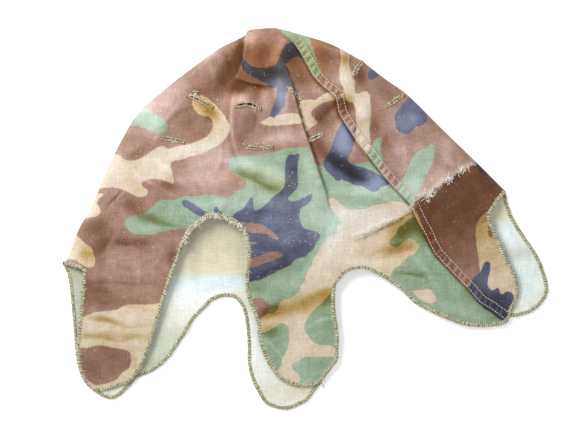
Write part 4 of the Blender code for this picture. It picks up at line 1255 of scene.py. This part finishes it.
def binding(layer, slit):
    """Buttonhole stitches round a slit with a bar tack at each end."""
    out = Mesh()
    loop = slit_loop(slit, 0.0, 17)
    closed = even(np.vstack([loop, loop[:1]]), 0.45)[:-1]
    d = np.roll(closed, -1, axis=0) - np.roll(closed, 1, axis=0)
    d /= np.linalg.norm(d, axis=1, keepdims=True)
    n = np.column_stack([d[:, 1], -d[:, 0]])
    up = 1.0 if layer == "front" else -1.0
    centre = closed + 0.75 * n
    level = surface(layer, centre)
    angles = np.linspace(0, 2 * np.pi, 8, endpoint=False)
    rings, ribs = [], []
    for i in range(len(closed)):
        rib = 0.5 + 0.5 * math.cos(2 * np.pi * i / 3.0 + 1.2 * noise.noise((i * 0.21, slit[0], 0)))
        ragged = 1.0 + 0.5 * noise.noise((i * 0.35, slit[1], 3.0))
        w = 0.95 * (0.8 + 0.25 * rib) * ragged * np.cos(angles)
        h = (0.5 + 0.3 * rib) * np.sin(angles)
        rings.append(np.column_stack([centre[i, 0] + n[i, 0] * w, centre[i, 1] + n[i, 1] * w,
                                      level[i] + up * 0.15 + h]))
        ribs.append(0.35 + 0.65 * rib)
    out.rings(rings, ribs, closed=True)
    a = math.radians(slit[2])
    along, across = np.array([math.cos(a), math.sin(a)]), np.array([-math.sin(a), math.cos(a)])
    for end in (-1, 1):
        base = np.array(slit[:2]) + along * end * (slit[3] / 2 + 1.0)
        points = [base + across * s for s in (-1.9, -0.9, 0, 0.9, 1.9)]
        z = surface(layer, np.array(points))
        out.hair([np.array([*p, h + up * 0.75]) for p, h in zip(points, z)], 0.75, 0)
    return out, closed, n


def fray(mesh, anchors, count, reach, radius, mat, lift=0.9):
    """Short worn threads that stand on the cloth round some points."""
    paths = []
    for x, y, spread in anchors:
        for _ in range(count):
            p = np.array([x, y]) + rng.normal(0, spread, 2)
            heading = rng.uniform(0, 2 * np.pi)
            size = rng.uniform(0.5, 1.0) * reach
            curl = rng.normal(0, 0.35 * reach, 2)
            paths.append([p + size * s * np.array([math.cos(heading), math.sin(heading)])
                          + curl * s * s for s in (0, 0.33, 0.66, 1.0)])
    paths = np.array(paths)
    heights = front_top(paths.reshape(-1, 2)).reshape(-1, 4)
    for path, z in zip(paths, heights + lift * np.array([0.3, 0.9, 1.0, 0.5])):
        mesh.hair(np.column_stack([path, z]), radius, mat)


def attach(obj, flap, nodes):
    """Puts a finished piece on its body, or only bakes the transform of a flap's piece."""
    if flap is None:
        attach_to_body(obj, "cover")
    else:
        bend(obj)
    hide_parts(*nodes)


def cloth_pieces():
    for name, obj in cloth.items():
        if name.endswith("_panel"):
            attach(obj, None, [name + "_front", name + "_back"])
        else:
            attach(obj, flap_of(name), [name])


def edging_pieces():
    for name, edge in EDGES.items():
        node = name + ("_overlock" if name.endswith("_flap") else "_rim_overlock")
        layer = name.split("_")[0]
        obj = edging(layer, edge).make(node + "_stitches", [OVERLOCK, FUZZ])
        attach(obj, flap_of(name), [node])


def seam_pieces():
    plan = (("front", "front_right", "front_crown", 14), ("back", "back_left", "back_crown", 6))
    for layer, fold, crown, skip in plan:
        flap = FLAPS[fold]
        line = SEAM[layer]
        outside = np.nonzero(flap.distance(line + 4.5 * normals(line)) > -BLEND_IN)[0]
        cut = int(outside[0])
        end = len(line) - (3 if layer == "front" else 2)
        for prefix, first, last, holder in ((crown, skip, cut + 1, None),
                                            (fold + "_flap", cut, end, flap)):
            cloth_mat = OUTER if layer == "front" else UNDER
            strip, mid, n = band(layer, first, last)
            obj = strip.make(prefix + "_seam_band", [cloth_mat])
            attach(obj, holder, [prefix + "_felled_band"])
            for row, offset, lift in (("inner", 1.5, 0.95), ("outer", 8.1, 0.85)):
                obj = stitches(layer, mid, n, offset, lift).make(
                    prefix + "_" + row + "_row", [TOPSTITCH])
                attach(obj, holder, [prefix + "_" + row + "_topstitch"])


def slit_pieces():
    for layer, slits in (("front", FRONT_SLITS), ("back", BACK_SLITS)):
        for name, slit in slits.items():
            out, loop, n = binding(layer, slit)
            if layer == "front":
                picks = loop[rng.choice(len(loop), 12, replace=False)]
                fray(out, [(x, y, 0.9) for x, y in picks], 2, 2.0, 0.16, 1, 1.2)
            obj = out.make(name + "_stitches", [BINDING, FUZZ])
            attach(obj, None, [name])


def worn_pieces():
    """Threads that wear has raised, and one loose end of seam thread."""
    out = Mesh()
    fray(out, [(115, 22, 2.2), (119, 24, 1.4), (149, 47, 2.0), (137, 37, 1.4)], 30, 3.4, .26, 0)
    line = even(smooth(WORN_RIGHT, 2.0), 4.0)
    fray(out, [(x, y, 1.0) for x, y in line], 6, 2.2, 0.2, 0)
    rim = even(smooth(EDGES["front_left"], 2.0), 2.5)
    rim = rim[(rim[:, 1] > -22)]
    fray(out, [(x, y - 0.4, 0.9) for x, y in rim], 5, 2.8, 0.22, 0, 0.7)
    line = even(smooth(WORN_LEFT, 2.0), 3.0)
    fray(out, [(x - 0.8, y + 2.2, 1.2) for x, y in line], 7, 1.7, 0.22, 0)
    fray(out, [(-108, 119, 1.6), (-104, 117, 1.2)], 5, 5.0, 0.25, 0, 1.6)
    fray(out, [(-47, 103, 1.5), (-56, 69, 1.5), (-45, 71, 1.5)], 5, 2.2, 0.18, 0)
    fray(out, [(-12, 42, 6), (-8, 36, 5), (-2, -12, 8), (-15, -18, 9), (10, -18, 5), (14, -2, 6),
               (22, 6, 5), (-4, 2, 6)], 9, 1.1, 0.22, 0, 0.5)
    obj = out.make("worn_threads", [FUZZ])
    attach(obj, None, [])
    out = Mesh()
    start = np.array([15.0, -156.0])
    path = [start + np.array([0.9 * s, -1.0 * s]) + 0.5 * np.array([math.sin(s), math.cos(s)])
            for s in np.linspace(-2, 5, 9)]
    out.hair([np.array([*p, 3.6]) for p in path], 0.35, 0)
    obj = out.make("loose_seam_thread", [DARK_THREAD])
    attach(obj, FLAPS["front_middle"], [])


cloth_pieces()
edging_pieces()
seam_pieces()
slit_pieces()
worn_pieces()


# ---- stage, light and camera ---------------------------------------------------------------
def stage():
    bpy.ops.mesh.primitive_plane_add(size=8, location=(0, 0, -0.0006))
    floor = bpy.context.object
    floor.name = "floor"
    t = Tree("pale_floor", 0.95)
    t.shader.inputs["Specular IOR Level"].default_value = 0.0
    t.shader.inputs["Emission Color"].default_value = (1.0, 1.0, 1.0, 1.0)
    t.shader.inputs["Emission Strength"].default_value = 0.2
    floor.data.materials.append(t.done((0.95, 0.95, 0.95)))
    world = bpy.data.worlds.new("studio")
    world.use_nodes = True
    world.node_tree.nodes["Background"].inputs["Color"].default_value = (1.0, 1.0, 1.0, 1)
    world.node_tree.nodes["Background"].inputs["Strength"].default_value = 0.52
    bpy.context.scene.world = world
    for name, place, size, power in (("key", (-0.95, 0.85, 0.95), 0.7, 27.0),
                                     ("fill", (1.1, -0.8, 1.2), 1.2, 8.0)):
        data = bpy.data.lights.new(name, "AREA")
        data.shape, data.size, data.energy = "SQUARE", size, power
        lamp = bpy.data.objects.new(name, data)
        lamp.location = place
        lamp.rotation_euler = (-Vector(place)).to_track_quat("-Z", "Y").to_euler()
        bpy.context.scene.collection.objects.link(lamp)


def camera():
    data = bpy.data.cameras.new("camera")
    data.lens, data.sensor_width, data.clip_start = 98.5, 36.0, 0.1
    cam = bpy.data.objects.new("camera", data)
    cam.location = (-0.0180, 0.0022, 1.507)
    bpy.context.scene.collection.objects.link(cam)
    bpy.context.scene.camera = cam


stage()
camera()
bpy.context.scene.view_settings.view_transform = "Standard"
